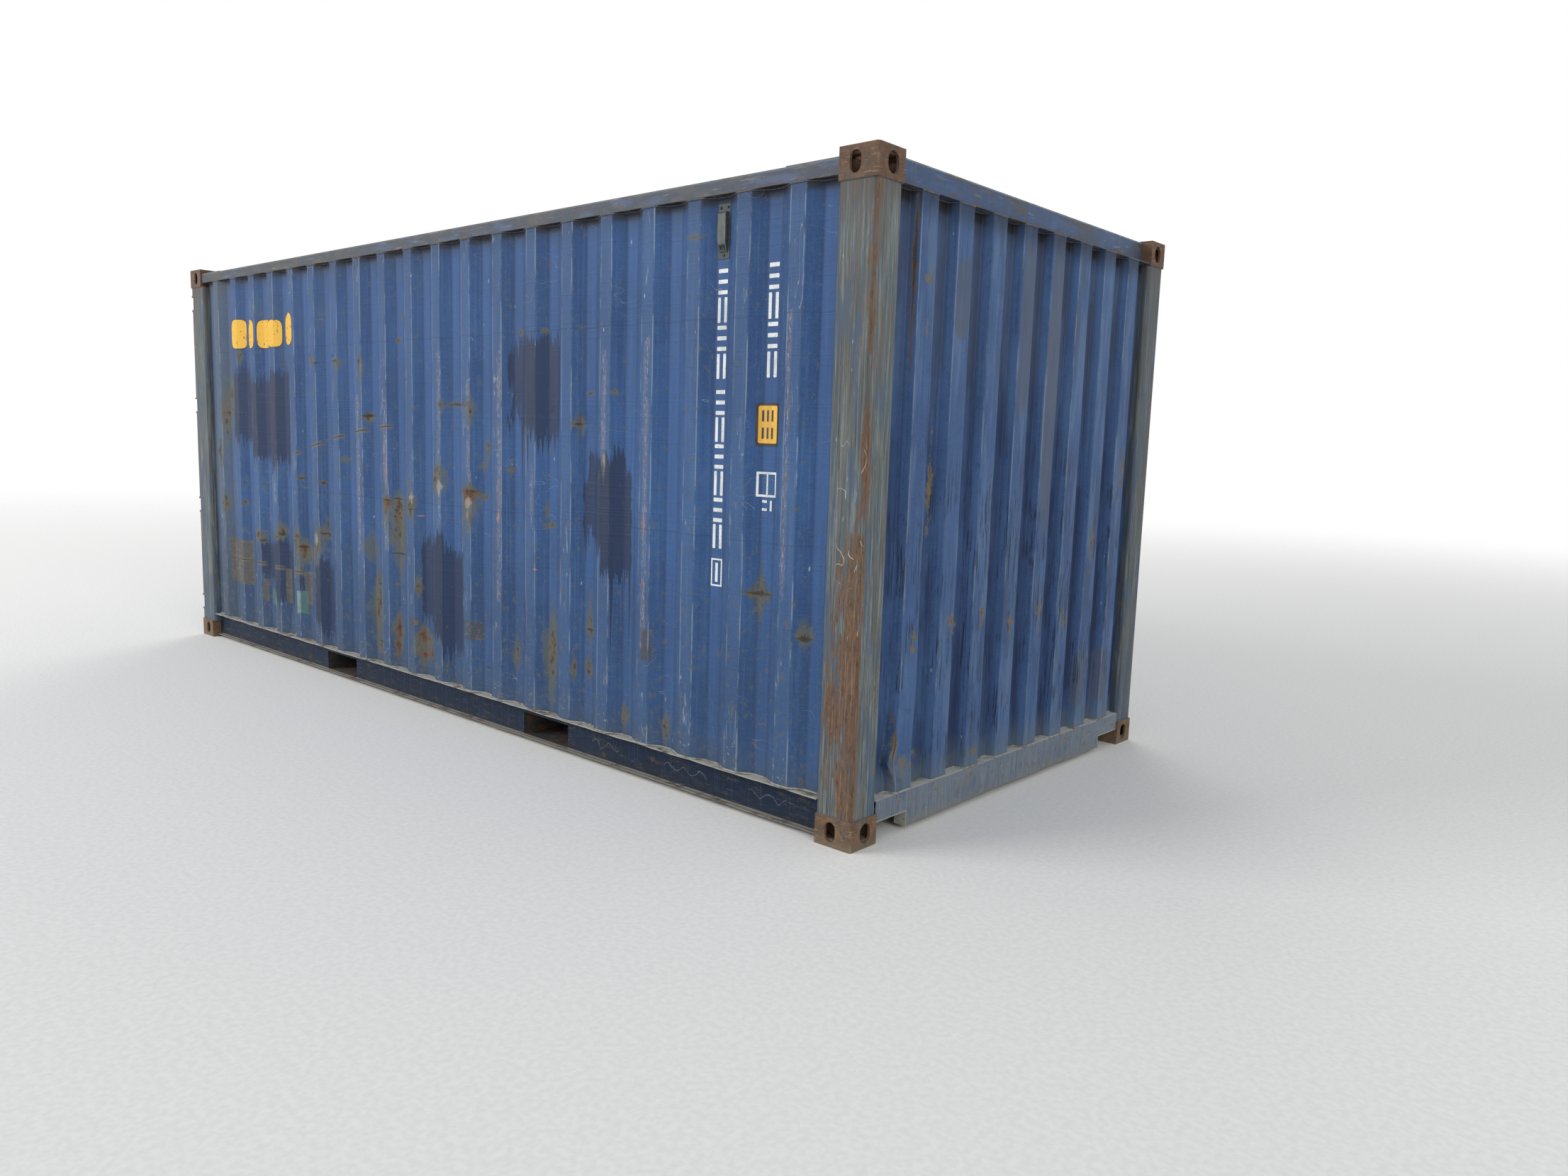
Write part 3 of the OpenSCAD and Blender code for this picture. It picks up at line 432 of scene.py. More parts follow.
WALL_RUST = (
    (-2.425, 1.90, 0.030, 0.07, 0.12),
    (-2.50, 1.74, 0.045, 0.14, 0.18),
    (-2.55, 1.58, 0.045, 0.16, 0.20),
    (-2.63, 1.36, 0.040, 0.12, 0.18),
    (-2.39, 1.74, 0.012, 0.24, 0.34),
    (-2.30, 1.985, 0.035, 0.045, 0.06),
    (-2.59, 0.99, 0.05, 0.06, 0.10),
    (-2.425, 1.046, 0.030, 0.014, 0.02),
    (-2.290, 1.004, 0.036, 0.018, 0.02),
    (-1.255, 1.945, 0.030, 0.025, 0.06),
    (-0.935, 1.92, 0.050, 0.030, 0.06),
    (-0.655, 1.91, 0.024, 0.07, 0.17),
    (-0.600, 1.60, 0.055, 0.030, 0.035),
    (-1.450, 1.212, 0.030, 0.016, 0.02),
    (-1.170, 1.192, 0.036, 0.020, 0.02),
    (-0.886, 1.347, 0.040, 0.024, 0.03),
    (-0.249, 2.154, 0.020, 0.018, 0.02),
    (-0.285, 2.023, 0.035, 0.016, 0.02),
    (-0.390, 1.12, 0.060, 0.060, 0.14),
    (-0.300, 1.12, 0.060, 0.070, 0.40),
    (-0.120, 1.12, 0.045, 0.050, 0.10),
    (0.440, 1.20, 0.075, 0.075, 0.20),
    (0.535, 1.21, 0.050, 0.018, 0.02),
    (0.19, 1.672, 0.030, 0.040, 0.05),
    (0.30, 1.672, 0.120, 0.020, 0.02),
    (0.455, 1.665, 0.050, 0.055, 0.12),
    (0.165, 1.320, 0.060, 0.040, 0.04),
    (0.130, 1.270, 0.028, 0.07, 0.10),
    (0.575, 1.450, 0.024, 0.07, 0.08),
    (0.545, 1.370, 0.030, 0.03, 0.05),
    (0.790, 1.350, 0.030, 0.022, 0.02),
    (0.862, 2.02, 0.035, 0.018, 0.02),
    (1.07, 2.020, 0.024, 0.016, 0.02),
    (1.080, 1.170, 0.016, 0.050, 0.05),
    (1.105, 1.100, 0.050, 0.018, 0.02),
    (1.336, 1.587, 0.034, 0.055, 0.060),
    (1.400, 1.728, 0.040, 0.012, 0.01),
    (1.600, 1.728, 0.030, 0.014, 0.02),
    (1.540, 1.430, 0.018, 0.040, 0.09),
    (-2.068, 0.81, 0.030, 0.035, 0.05),
    (-2.015, 0.775, 0.035, 0.028, 0.03),
    (-1.870, 0.815, 0.05, 0.026, 0.02),
    (-1.800, 0.812, 0.05, 0.020, 0.02),
    (-1.740, 0.845, 0.045, 0.060, 0.05),
    (-1.520, 0.84, 0.045, 0.06, 0.12),
    (-1.455, 0.755, 0.050, 0.060, 0.10),
    (-1.400, 0.73, 0.05, 0.06, 0.08),
    (-1.250, 0.80, 0.035, 0.12, 0.13),
    (-1.165, 0.885, 0.060, 0.050, 0.06),
    (-1.143, 0.90, 0.020, 0.08, 0.06),
    (-0.540, 0.54, 0.050, 0.26, 0.28),
    (-0.520, 0.27, 0.050, 0.06, 0.06),
    (-0.305, 0.40, 0.045, 0.12, 0.16),
    (-0.070, 0.67, 0.028, 0.07, 0.05),
    (-0.030, 0.38, 0.070, 0.09, 0.14),
    (2.738, 0.79, 0.040, 0.060, 0.05),
    (1.410, 0.635, 0.032, 0.17, 0.07),
    (1.405, 0.45, 0.030, 0.07, 0.08),
    (1.125, 0.50, 0.045, 0.20, 0.24),
    (0.828, 0.43, 0.032, 0.10, 0.10),
    (1.320, 0.44, 0.016, 0.08, 0.08),
    (1.665, 0.27, 0.026, 0.07, 0.08),
    (1.945, 0.27, 0.026, 0.09, 0.08),
    (2.10, 2.352, 0.060, 0.012, 0.02),
)
WALL_STAINS = (
    (-2.560, 1.640, 0.060, 0.26, 0.30),
    (-2.049, 0.805, 0.070, 0.08, 0.10),
    (-1.745, 0.850, 0.090, 0.09, 0.08),
    (-1.490, 0.780, 0.120, 0.13, 0.26),
    (-1.225, 0.830, 0.075, 0.15, 0.18),
    (-0.600, 0.840, 0.085, 0.12, 0.12),
    (-0.560, 0.480, 0.080, 0.26, 0.36),
    (-0.285, 0.980, 0.110, 0.26, 0.44),
    (-0.127, 1.150, 0.075, 0.15, 0.16),
    (-0.030, 0.350, 0.110, 0.16, 0.18),
    (0.170, 1.290, 0.080, 0.12, 0.14),
    (1.115, 0.470, 0.080, 0.32, 0.36),
)
WALL_STARS = (
    (2.489, 0.930, 0.090, 0.170, 0.190),
    (-0.390, 1.125, 0.080, 0.060, 0.080),
    (0.460, 1.230, 0.120, 0.070, 0.070),
)
BROWN_SPOTS = (
    (-0.035, 0.400, 0.060, 0.060, 0.060),
    (-0.035, 0.295, 0.055, 0.040, 0.040),
    (0.030, 0.305, 0.030, 0.050, 0.050),
    (-0.305, 0.410, 0.030, 0.090, 0.080),
    (-0.315, 0.300, 0.028, 0.080, 0.080),
    (-0.390, 1.115, 0.055, 0.040, 0.050),
    (0.445, 1.220, 0.080, 0.035, 0.060),
    (-1.455, 0.770, 0.040, 0.035, 0.060),
)
BARE_SPOTS = (
    (0.438, 1.170, 0.040, 0.040, 0.060),
    (0.170, 1.240, 0.035, 0.050, 0.060),
    (-0.110, 1.170, 0.030, 0.040, 0.060),
    (1.541, 1.440, 0.012, 0.025, 0.060),
    (-1.250, 0.850, 0.030, 0.040, 0.080),
)
DARK_CREASES = (
    (2.489, 0.930, 0.085, 0.011, 0.010),
    (2.738, 0.780, 0.045, 0.014, 0.014),
    (1.336, 1.587, 0.028, 0.008, 0.008),
    (0.310, 1.672, 0.130, 0.007, 0.007),
    (0.455, 1.232, 0.070, 0.008, 0.008),
    (-0.390, 1.135, 0.060, 0.008, 0.008),
    (-0.300, 1.147, 0.060, 0.009, 0.009),
    (-0.120, 1.100, 0.045, 0.007, 0.007),
    (-1.170, 0.880, 0.060, 0.009, 0.008),
    (-1.165, 1.192, 0.034, 0.009, 0.008),
    (-1.445, 1.210, 0.040, 0.006, 0.006),
    (-0.285, 0.836, 0.090, 0.009, 0.009),
    (-0.500, 0.300, 0.060, 0.012, 0.012),
    (-1.735, 0.835, 0.045, 0.014, 0.014),
    (-2.020, 0.768, 0.050, 0.010, 0.010),
    (-1.460, 0.775, 0.060, 0.014, 0.014),
    (-0.600, 1.605, 0.060, 0.014, 0.010),
    (-0.980, 1.925, 0.060, 0.010, 0.010),
    (-1.200, 1.918, 0.045, 0.009, 0.009),
    (1.410, 0.633, 0.036, 0.010, 0.010),
    (0.580, 0.318, 0.045, 0.006, 0.006),
    (0.285, 0.335, 0.045, 0.006, 0.006),
)
DIMPLES = (
    (-1.265, 1.955, 0.040, 0.022, 0.026),
    (-0.985, 1.945, 0.050, 0.026, 0.030),
    (-0.66, 1.90, 0.030, 0.08, 0.12),
    (-0.605, 1.605, 0.060, 0.028, 0.034),
    (0.41, 1.66, 0.050, 0.060, 0.060),
    (0.154, 1.32, 0.045, 0.050, 0.060),
    (1.345, 1.587, 0.035, 0.085, 0.085),
)
GOUGE_BOWS = (
    (-0.27, 1.555, 0.06, 0.08, -1.49, -0.20),
    (-1.27, 0.612, 0.0, 0.0, -2.47, -1.27),
)
WORD_BLOCKS = (
    (-2.385, -2.235, 2.035, 2.225),
    (-2.205, -2.05, 2.03, 2.215),
    (-2.02, -1.87, 2.03, 2.21),
    (-1.84, -1.70, 2.03, 2.20),
    (-1.665, -1.505, 2.035, 2.235),
)


def gouged(paint, from_crest):
    """Long gouges that cross only the crests: 1 along their middle. Also their soft stain."""
    line = None
    for start, level, slope, bow, left, right in GOUGE_BOWS:
        along = start - paint.x
        height = level - along * slope - along * along * bow
        away = abs(paint.z - height - ragged(paint, 0.04, 0.002, 91))
        away = away | (left - paint.x) | (paint.x - right)
        line = away if line is None else line & away
    outer = from_crest.ease(0.085, 0.050)
    return outer * line.ease(0.0050, 0.0015), outer * line.ease(0.024, 0.004)


def wall_coat(name, side):
    """The side walls' weathered blue. The right wall carries the repairs, rust and blots that the
    photograph shows, the left wall fewer of its own."""
    paint = Paint(name, Specular_IOR_Level=0.32)
    right = side < 0
    relief, mottle = sea_coat(paint, (31, 66, 112), (41, 80, 130), shift=7 * side)
    from_crest = abs((paint.x - SIDE_MIDDLE) % SIDE_PITCH - SIDE_PITCH / 2)
    aged = paint.x.ease(1.6, -2.6)

    # chalk on the crests with a painted sheen in it, deeper blue in the troughs, dirt and painted shade
    # under the rail, a painted shadow at the troughs' tops, painted shade towards the bottom and dust at the
    # foot
    # the crests' pale layer is chalk and a painted sheen, the grey haze of reflected sky on the flats
    crest = from_crest.ease(0.046, 0.034)
    paint.lay(crest * 0.28, (72, 102, 140))
    paint.lay(paint.z.ease(1.35, 1.85) * (0.12 + aged * 0.14), (22, 50, 96))
    trough = from_crest.ease(0.098, 0.108)
    paint.lay(trough * 0.28, (58, 98, 154))
    blotch = paint.noise(0.11, (1, 1, 2.2), detail=5, shift=11, rough=0.6)
    paint.lay(blotch.ease(0.50, 0.66) * (0.10 + aged * 0.36), (64, 84, 108))
    # dirt and painted shade under the rail's overhang
    under_rail = paint.z.ease(2.38, 2.50) * (0.25 + mottle * 0.5)
    paint.lay(under_rail, (32, 44, 64))
    # painted shadow at the top of each trough, right under the rail
    paint.lay(paint.z.ease(2.452, 2.480) * (1 - crest) * 0.8, (22, 22, 24))
    doorward = paint.x.ease(-2.35, -2.62) * (0.25 + mottle * 0.5)
    paint.lay(doorward, (92, 98, 96))
    foot = (paint.z + mottle * 0.12).ease(0.42, 0.22)
    paint.lay(foot * 0.45, (76, 88, 98))
    # painted shade towards the bottom, as from a dark ground, stronger towards the doors
    lower = (paint.z + (blotch - 0.5) * 0.8).ease(1.10, 0.50)
    paint.lay(lower * (0.24 + aged * 0.26), (44, 58, 76))
    bend = abs(from_crest - SIDE_BEND).ease(0.012, 0.002) | abs(from_crest - 0.037).ease(0.006, 0.001) * 0.6
    paint.lay(bend * 0.30, (34, 50, 78))

    # handling scuffs on the crests: a lilac-grey film with upright pale and tan flecks
    fleck = paint.noise(0.0048, (1, 1, 7), detail=4, shift=67, rough=0.72)
    sway = ragged(paint, 0.10, 0.02, 61)
    scuffs = SCUFFS if right else LEFT_SCUFFS
    scuffed = brushed(paint.x + sway * 0.4, paint.z + sway * 5, scuffs).ease(-0.10, 0.35) * crest
    film = paint.noise(0.03, (1, 1, 6), detail=4, shift=63).ease(0.36, 0.60)
    paint.lay(scuffed * film * 0.55, (108, 108, 120))
    paint.lay(scuffed * fleck.ease(0.56, 0.61) * 0.75, (178, 174, 178))
    paint.lay(scuffed * fleck.ease(0.43, 0.38) * 0.75, (134, 108, 96))

    # brushed repaint with its drips
    comb = paint.noise(0.013, (1, 1, 50), detail=4, shift=3, rough=0.6)
    wobble = ragged(paint, 0.10, 0.014, 17)
    spiky = (comb - 0.5) * 0.36 + wobble
    strokes = brushed(paint.x + wobble * 0.8, paint.z + spiky, STROKES if right else LEFT_STROKES)
    repaint = strokes.ease(-0.04, 0.16)
    if right:
        drips = near_spots(paint.x + wobble * 0.15, paint.z, DRIPS)
        repaint = repaint | drips.ease(0.0, 0.20)
    thin = 1.02 + (comb - 0.5) * 0.7 + (mottle - 0.5) * 0.5
    fresh = paint.mix(crest * 0.7 + (comb - 0.5) * 0.9, (28, 46, 78), (17, 35, 62))
    paint.lay((repaint * thin).ease(0.0, 1.0) & 0.97, fresh)
    rim = strokes.ease(-0.04, 0.06) * strokes.ease(0.40, 0.10)
    paint.lay(rim * 0.40, (20, 34, 64))
    if right:
        tape = brushed(paint.x + wobble * 0.15, paint.z + wobble * 0.15, TAPE_PATCHES).ease(0.0, 0.05)
        tint = paint.mix(paint.x.ease(-1.2, -1.3), (66, 68, 76), (84, 80, 74))
        paint.lay(tape * (0.66 + mottle * 0.4), tint)
        crumple = paint.noise(0.05, (1, 1, 0.5), detail=4, shift=95, rough=0.6)
        paint.lay(tape * crumple.ease(0.56, 0.64) * 0.5, (108, 104, 98))
        green = brushed(paint.x + wobble * 0.4, paint.z + wobble * 0.8, GREEN_PATCHES).ease(0.0, 0.15)
        pale = paint.mix(crest, (74, 112, 108), (128, 154, 136))
        paint.lay(green * (0.25 + mottle * 0.8), pale)

    # thin rubbed lines along the crests' edges, chips, scratches and two long rub lines along the wall
    rub = abs(from_crest - SIDE_CREST / 2).ease(0.0044, 0.0014)
    broken = paint.noise(0.035, (1, 1, 7), detail=5, shift=13, rough=0.65).ease(0.46, 0.56)
    bare_of_it = 1 - repaint * 0.85
    paint.lay(rub * broken * bare_of_it * 0.70, (126, 142, 160))
    chips = paint.specks(0.045, 0.0050, 0.08, shift=2, tall=2.5)
    paint.lay(chips * bare_of_it * 0.75, (164, 170, 176))
    scratch = abs(paint.noise(0.16, (1.0, 1.0, 0.5), detail=1, shift=41) - 0.5).ease(0.0030, 0.001)
    scratch = scratch * paint.noise(0.3, detail=1, shift=43).ease(0.58, 0.64)
    upright = abs(paint.noise(0.020, (1, 1, 14), detail=1, shift=45) - 0.5).ease(0.016, 0.006)
    upright = upright * crest * paint.noise(0.12, (1, 1, 2), detail=2, shift=49).ease(0.56, 0.62)
    paint.lay((scratch * 0.5 | upright * 0.55) * bare_of_it, (146, 158, 170))
    wave = ragged(paint, 0.30, 0.010, 71)
    hair = abs(paint.z - 2.02 - wave).ease(0.0035, 0.001) | abs(paint.z - 1.14 - wave).ease(0.0030, 0.001)
    paint.lay(hair * 0.35, (32, 50, 84))
    peeled = paint.z.ease(0.34, 0.26) * paint.noise(0.022, detail=4, shift=85, rough=0.6).ease(0.60, 0.64)
    paint.lay(peeled * crest * 0.55, (150, 150, 148))

    # rust: placed spots, and small pits all over, more of them towards the doors
    grit = paint.noise(0.030, (1, 1, 1.4), detail=6, shift=19, rough=0.72)
    ripped = ragged(paint, 0.035, 0.012, 73)
    close_by = near_spots(paint.x + ripped, paint.z + ripped, WALL_RUST if right else LEFT_RUST)
    paint.lay((close_by + mottle * 0.9).ease(-0.10, 0.62) * 0.50, (84, 88, 80))
    if right:
        torn = (mottle - 0.5) * 1.4 + (grit - 0.5) * 1.2
        stained = near_spots(paint.x + ripped, paint.z + ripped * 1.5, WALL_STAINS) + torn
        paint.lay(stained.ease(-0.05, 0.30) * 0.42, (88, 92, 84))
        paint.lay(stained.ease(0.30, 0.65) * 0.40, (84, 80, 62))
        stars = near_spots(paint.x + ripped * 0.4, paint.z + ripped * 0.4, WALL_STARS, star=True)
        paint.lay(stars.ease(-0.20, 0.15) * 0.75, (72, 72, 54))
        close_by = close_by | stars
    edge_rust = abs(from_crest - 0.037).ease(0.013, 0.002) * blotch.ease(0.58, 0.72) * 0.12
    low = (paint.z + (blotch - 0.5) * 1.4).ease(0.85, 0.20) * 0.02
    clean = paint.z.ease(0.9, 1.8) * 0.025 + (1 - aged) * 0.020 + repaint * 0.06
    amount = grit + close_by.ease(-0.25, 0.65) * 0.22 + edge_rust + low - clean - 0.045
    rusted(paint, amount)
    pits = paint.specks(0.085, 0.0060, 0.13, shift=6, tall=2.0)
    paint.lay(pits * (0.40 + aged * 0.4) * bare_of_it * paint.z.ease(2.2, 1.2), (84, 68, 52))

    if right:
        brown = near_spots(paint.x + ripped, paint.z + ripped, BROWN_SPOTS) + (grit - 0.5) * 2.2
        paint.lay(brown.ease(0.0, 0.35) * 0.80, (104, 76, 56))
        paint.lay(brown.ease(0.45, 0.75) * 0.70, (74, 54, 46))
        bare = near_spots(paint.x + ripped * 0.5, paint.z + ripped * 0.5, BARE_SPOTS) + (grit - 0.5) * 3.0
        paint.lay(bare.ease(0.1, 0.5) * 0.65, (158, 150, 142))
        crease = near_spots(paint.x + ripped * 0.5, paint.z + ripped * 0.3, DARK_CREASES).ease(-0.1, 0.4)
        paint.lay(crease * 0.80, (58, 50, 44))
        cut, halo = gouged(paint, from_crest)
        paint.lay(halo * 0.55, (110, 102, 78))
        paint.lay(cut * 0.85, (52, 46, 42))
        primer = near_spots(paint.x + ripped * 0.4, paint.z + ripped * 0.4, PRIMER_SPOTS)
        paint.lay(primer.ease(-0.2, 0.4) * 0.65, (168, 120, 100))
        lettered = near_boxes(paint.x, paint.z, WORD_BLOCKS)
        worn = paint.noise(0.018, (1, 1, 1.6), detail=4, shift=47).ease(0.33, 0.39)
        paint.lay(lettered.ease(-0.34, -0.22) * 0.7, (62, 54, 52))
        paint.lay(lettered.ease(0.0, 0.08) * (worn | 0.25), (230, 180, 66))
        tag = near_boxes(paint.x, paint.z, ((-2.436, -2.390, 0.350, 0.396),)).ease(0.0, 0.2)
        paint.lay(tag * 0.9, (206, 208, 206))

    # the sheet is a little wrinkled across the troughs, and dimpled where it was knocked
    wrinkle = paint.noise(0.30, (3, 3, 0.045), detail=2, shift=53)
    relief = relief + wrinkle.ease(0.55, 0.68) * 0.0004 + grit.ease(0.58, 0.68) * 0.0006
    rough = 0.54 + mottle * 0.16 + amount.ease(0.54, 0.64) * 0.28 - repaint * 0.08
    if right:
        relief = relief - cut * 0.0015 - near_spots(paint.x, paint.z, DIMPLES).ease(0.0, 1.0) * 0.007
    return paint.finish(rough, relief)


END_PATCHES = (
    (-0.68, -0.574, 1.96, 2.27),
    (-0.174, -0.07, 1.69, 2.42),
    (0.074, 0.188, 1.165, 2.47),
    (0.56, 0.65, 0.27, 0.56),
    (0.796, 0.894, 0.26, 0.55),
)
END_RUST = (
    (-0.735, 1.36, 0.030, 0.26, 0.30),
    (-0.86, 0.80, 0.040, 0.04, 0.10),
    (-0.60, 0.84, 0.040, 0.04, 0.09),
    (-0.52, 0.80, 0.040, 0.04, 0.08),
    (-0.36, 0.86, 0.030, 0.05, 0.12),
    (-0.12, 0.78, 0.036, 0.04, 0.10),
    (0.14, 0.82, 0.032, 0.04, 0.10),
    (0.38, 0.76, 0.040, 0.04, 0.10),
    (-0.945, 0.32, 0.030, 0.16, 0.14),
    (-0.87, 0.27, 0.080, 0.05, 0.07),
    (-0.78, 0.30, 0.055, 0.04, 0.06),
    (-0.37, 0.24, 0.045, 0.04, 0.05),
    (0.62, 1.10, 0.036, 0.10, 0.14),
    (0.90, 1.45, 0.026, 0.18, 0.20),
    (-0.875, 2.17, 0.040, 0.040, 0.06),
    (-0.865, 2.00, 0.024, 0.030, 0.05),
)
END_LINES = (
    (-0.9385, 2.24, 0.0045, 0.36, 0.46),
    (-0.9450, 0.34, 0.0065, 0.16, 0.14),
)
END_SMEARS = (
    (-0.515, 1.75, 0.020, 0.13, 0.14),
    (-0.300, 2.00, 0.010, 0.12, 0.12),
)


def end_coat(name):
    """The blind end's blue: painted streaky shade in the troughs and under the header, greyish rubbed
    patches on the crests, few rust spots.
    """
    paint = Paint(name, Specular_IOR_Level=0.32)
    relief, mottle = sea_coat(paint, (50, 78, 122), (64, 94, 138), shift=15)
    from_crest = abs(paint.y % END_PITCH - END_PITCH / 2)
    trough = from_crest.ease(0.060, 0.075)
    inward = paint.y.ease(-0.95, -0.2)
    dark = paint.noise(0.10, (1, 1, 5), detail=5, shift=5, rough=0.6).ease(0.42, 0.58)
    # painted shade in the troughs, streaky and deeper towards +Y
    paint.lay(trough * (0.30 + dark * 0.40 + inward * 0.22), (28, 44, 76))
    crest = from_crest.ease(0.058, 0.050)
    pale = paint.noise(0.05, (1, 1, 8), detail=5, shift=9, rough=0.6)
    paint.lay(crest * pale.ease(0.46, 0.64) * 0.55, (92, 114, 142))
    paint.lay(crest * pale.ease(0.46, 0.36) * inward * 0.55, (70, 76, 84))

    wobble = ragged(paint, 0.05, 0.010, 17)
    patches = near_boxes(paint.y + wobble, paint.z + wobble * 2, END_PATCHES).ease(-0.3, 0.5)
    paint.lay(patches * (0.36 + pale * 0.5), (80, 84, 94))
    strips = paint.noise(0.008, (1, 1, 30), detail=4, shift=81, rough=0.65)
    torn = strips.ease(0.54, 0.57) * paint.noise(0.16, (1, 1, 1.6), detail=3, shift=83).ease(0.46, 0.54)
    torn = torn * paint.z.ease(1.75, 1.25)
    paint.lay(torn * 0.85, (26, 36, 60))
    smear = near_spots(paint.y, paint.z, END_SMEARS)
    paint.lay(smear.ease(0.0, 0.3) * 0.65, (92, 88, 84))
    paint.lay(smear.ease(0.45, 0.75) * 0.60, (134, 126, 112))
    rub = abs(from_crest - 0.052).ease(0.0035, 0.001)
    broken = paint.noise(0.04, (1, 1, 9), detail=5, shift=13, rough=0.65).ease(0.46, 0.58)
    paint.lay(rub * broken * 0.65, (124, 138, 154))
    chips = paint.specks(0.05, 0.0045, 0.10, shift=2, tall=2.5)
    paint.lay(chips * 0.6, (150, 156, 158))

    paint.lay(trough * paint.z.ease(1.5, 2.1) * 0.22, (96, 104, 112))
    # painted shade under the header, mottled
    under_rail = paint.z.ease(2.34, 2.47) * (0.45 + mottle * 0.7)
    paint.lay(under_rail, (24, 34, 52))
    foot = (paint.z + mottle * 0.12).ease(0.40, 0.21)
    paint.lay(foot * 0.55, (100, 112, 116))
    grit = paint.noise(0.03, (1, 1, 1.5), detail=6, shift=19, rough=0.72)
    ripped = ragged(paint, 0.03, 0.008, 73)
    amount = grit + near_spots(paint.y + ripped, paint.z + ripped, END_RUST) * 0.20 - 0.02
    edge_rust = abs(from_crest - END_CREST / 2).ease(0.014, 0.002)
    edge_rust = edge_rust * paint.noise(0.14, detail=4, shift=3).ease(0.55, 0.7)
    amount = amount + edge_rust * 0.10
    rusted(paint, amount, warm=(132, 100, 66), stain=(104, 104, 84))
    line = near_spots(paint.y + ripped * 0.15, paint.z, END_LINES)
    paint.lay(line.ease(-0.3, 0.1) * grit.ease(0.40, 0.50) * 0.8, (96, 76, 52))
    paint.lay(line.ease(0.3, 0.6) * 0.75, (50, 42, 36))
    pits = paint.specks(0.09, 0.0055, 0.12, shift=6, tall=2.0)
    paint.lay(pits * 0.5, (84, 68, 50))
    # painted shadow at the top of each trough, under the header's lip
    paint.lay(paint.z.ease(2.416, 2.446) * trough * 0.94, (14, 15, 18))
    rough = 0.54 + mottle * 0.16 + amount.ease(0.54, 0.64) * 0.25
    return paint.finish(rough, relief + grit.ease(0.58, 0.68) * 0.0005)


# ---------------------------------------------------------------- posts, castings, rails


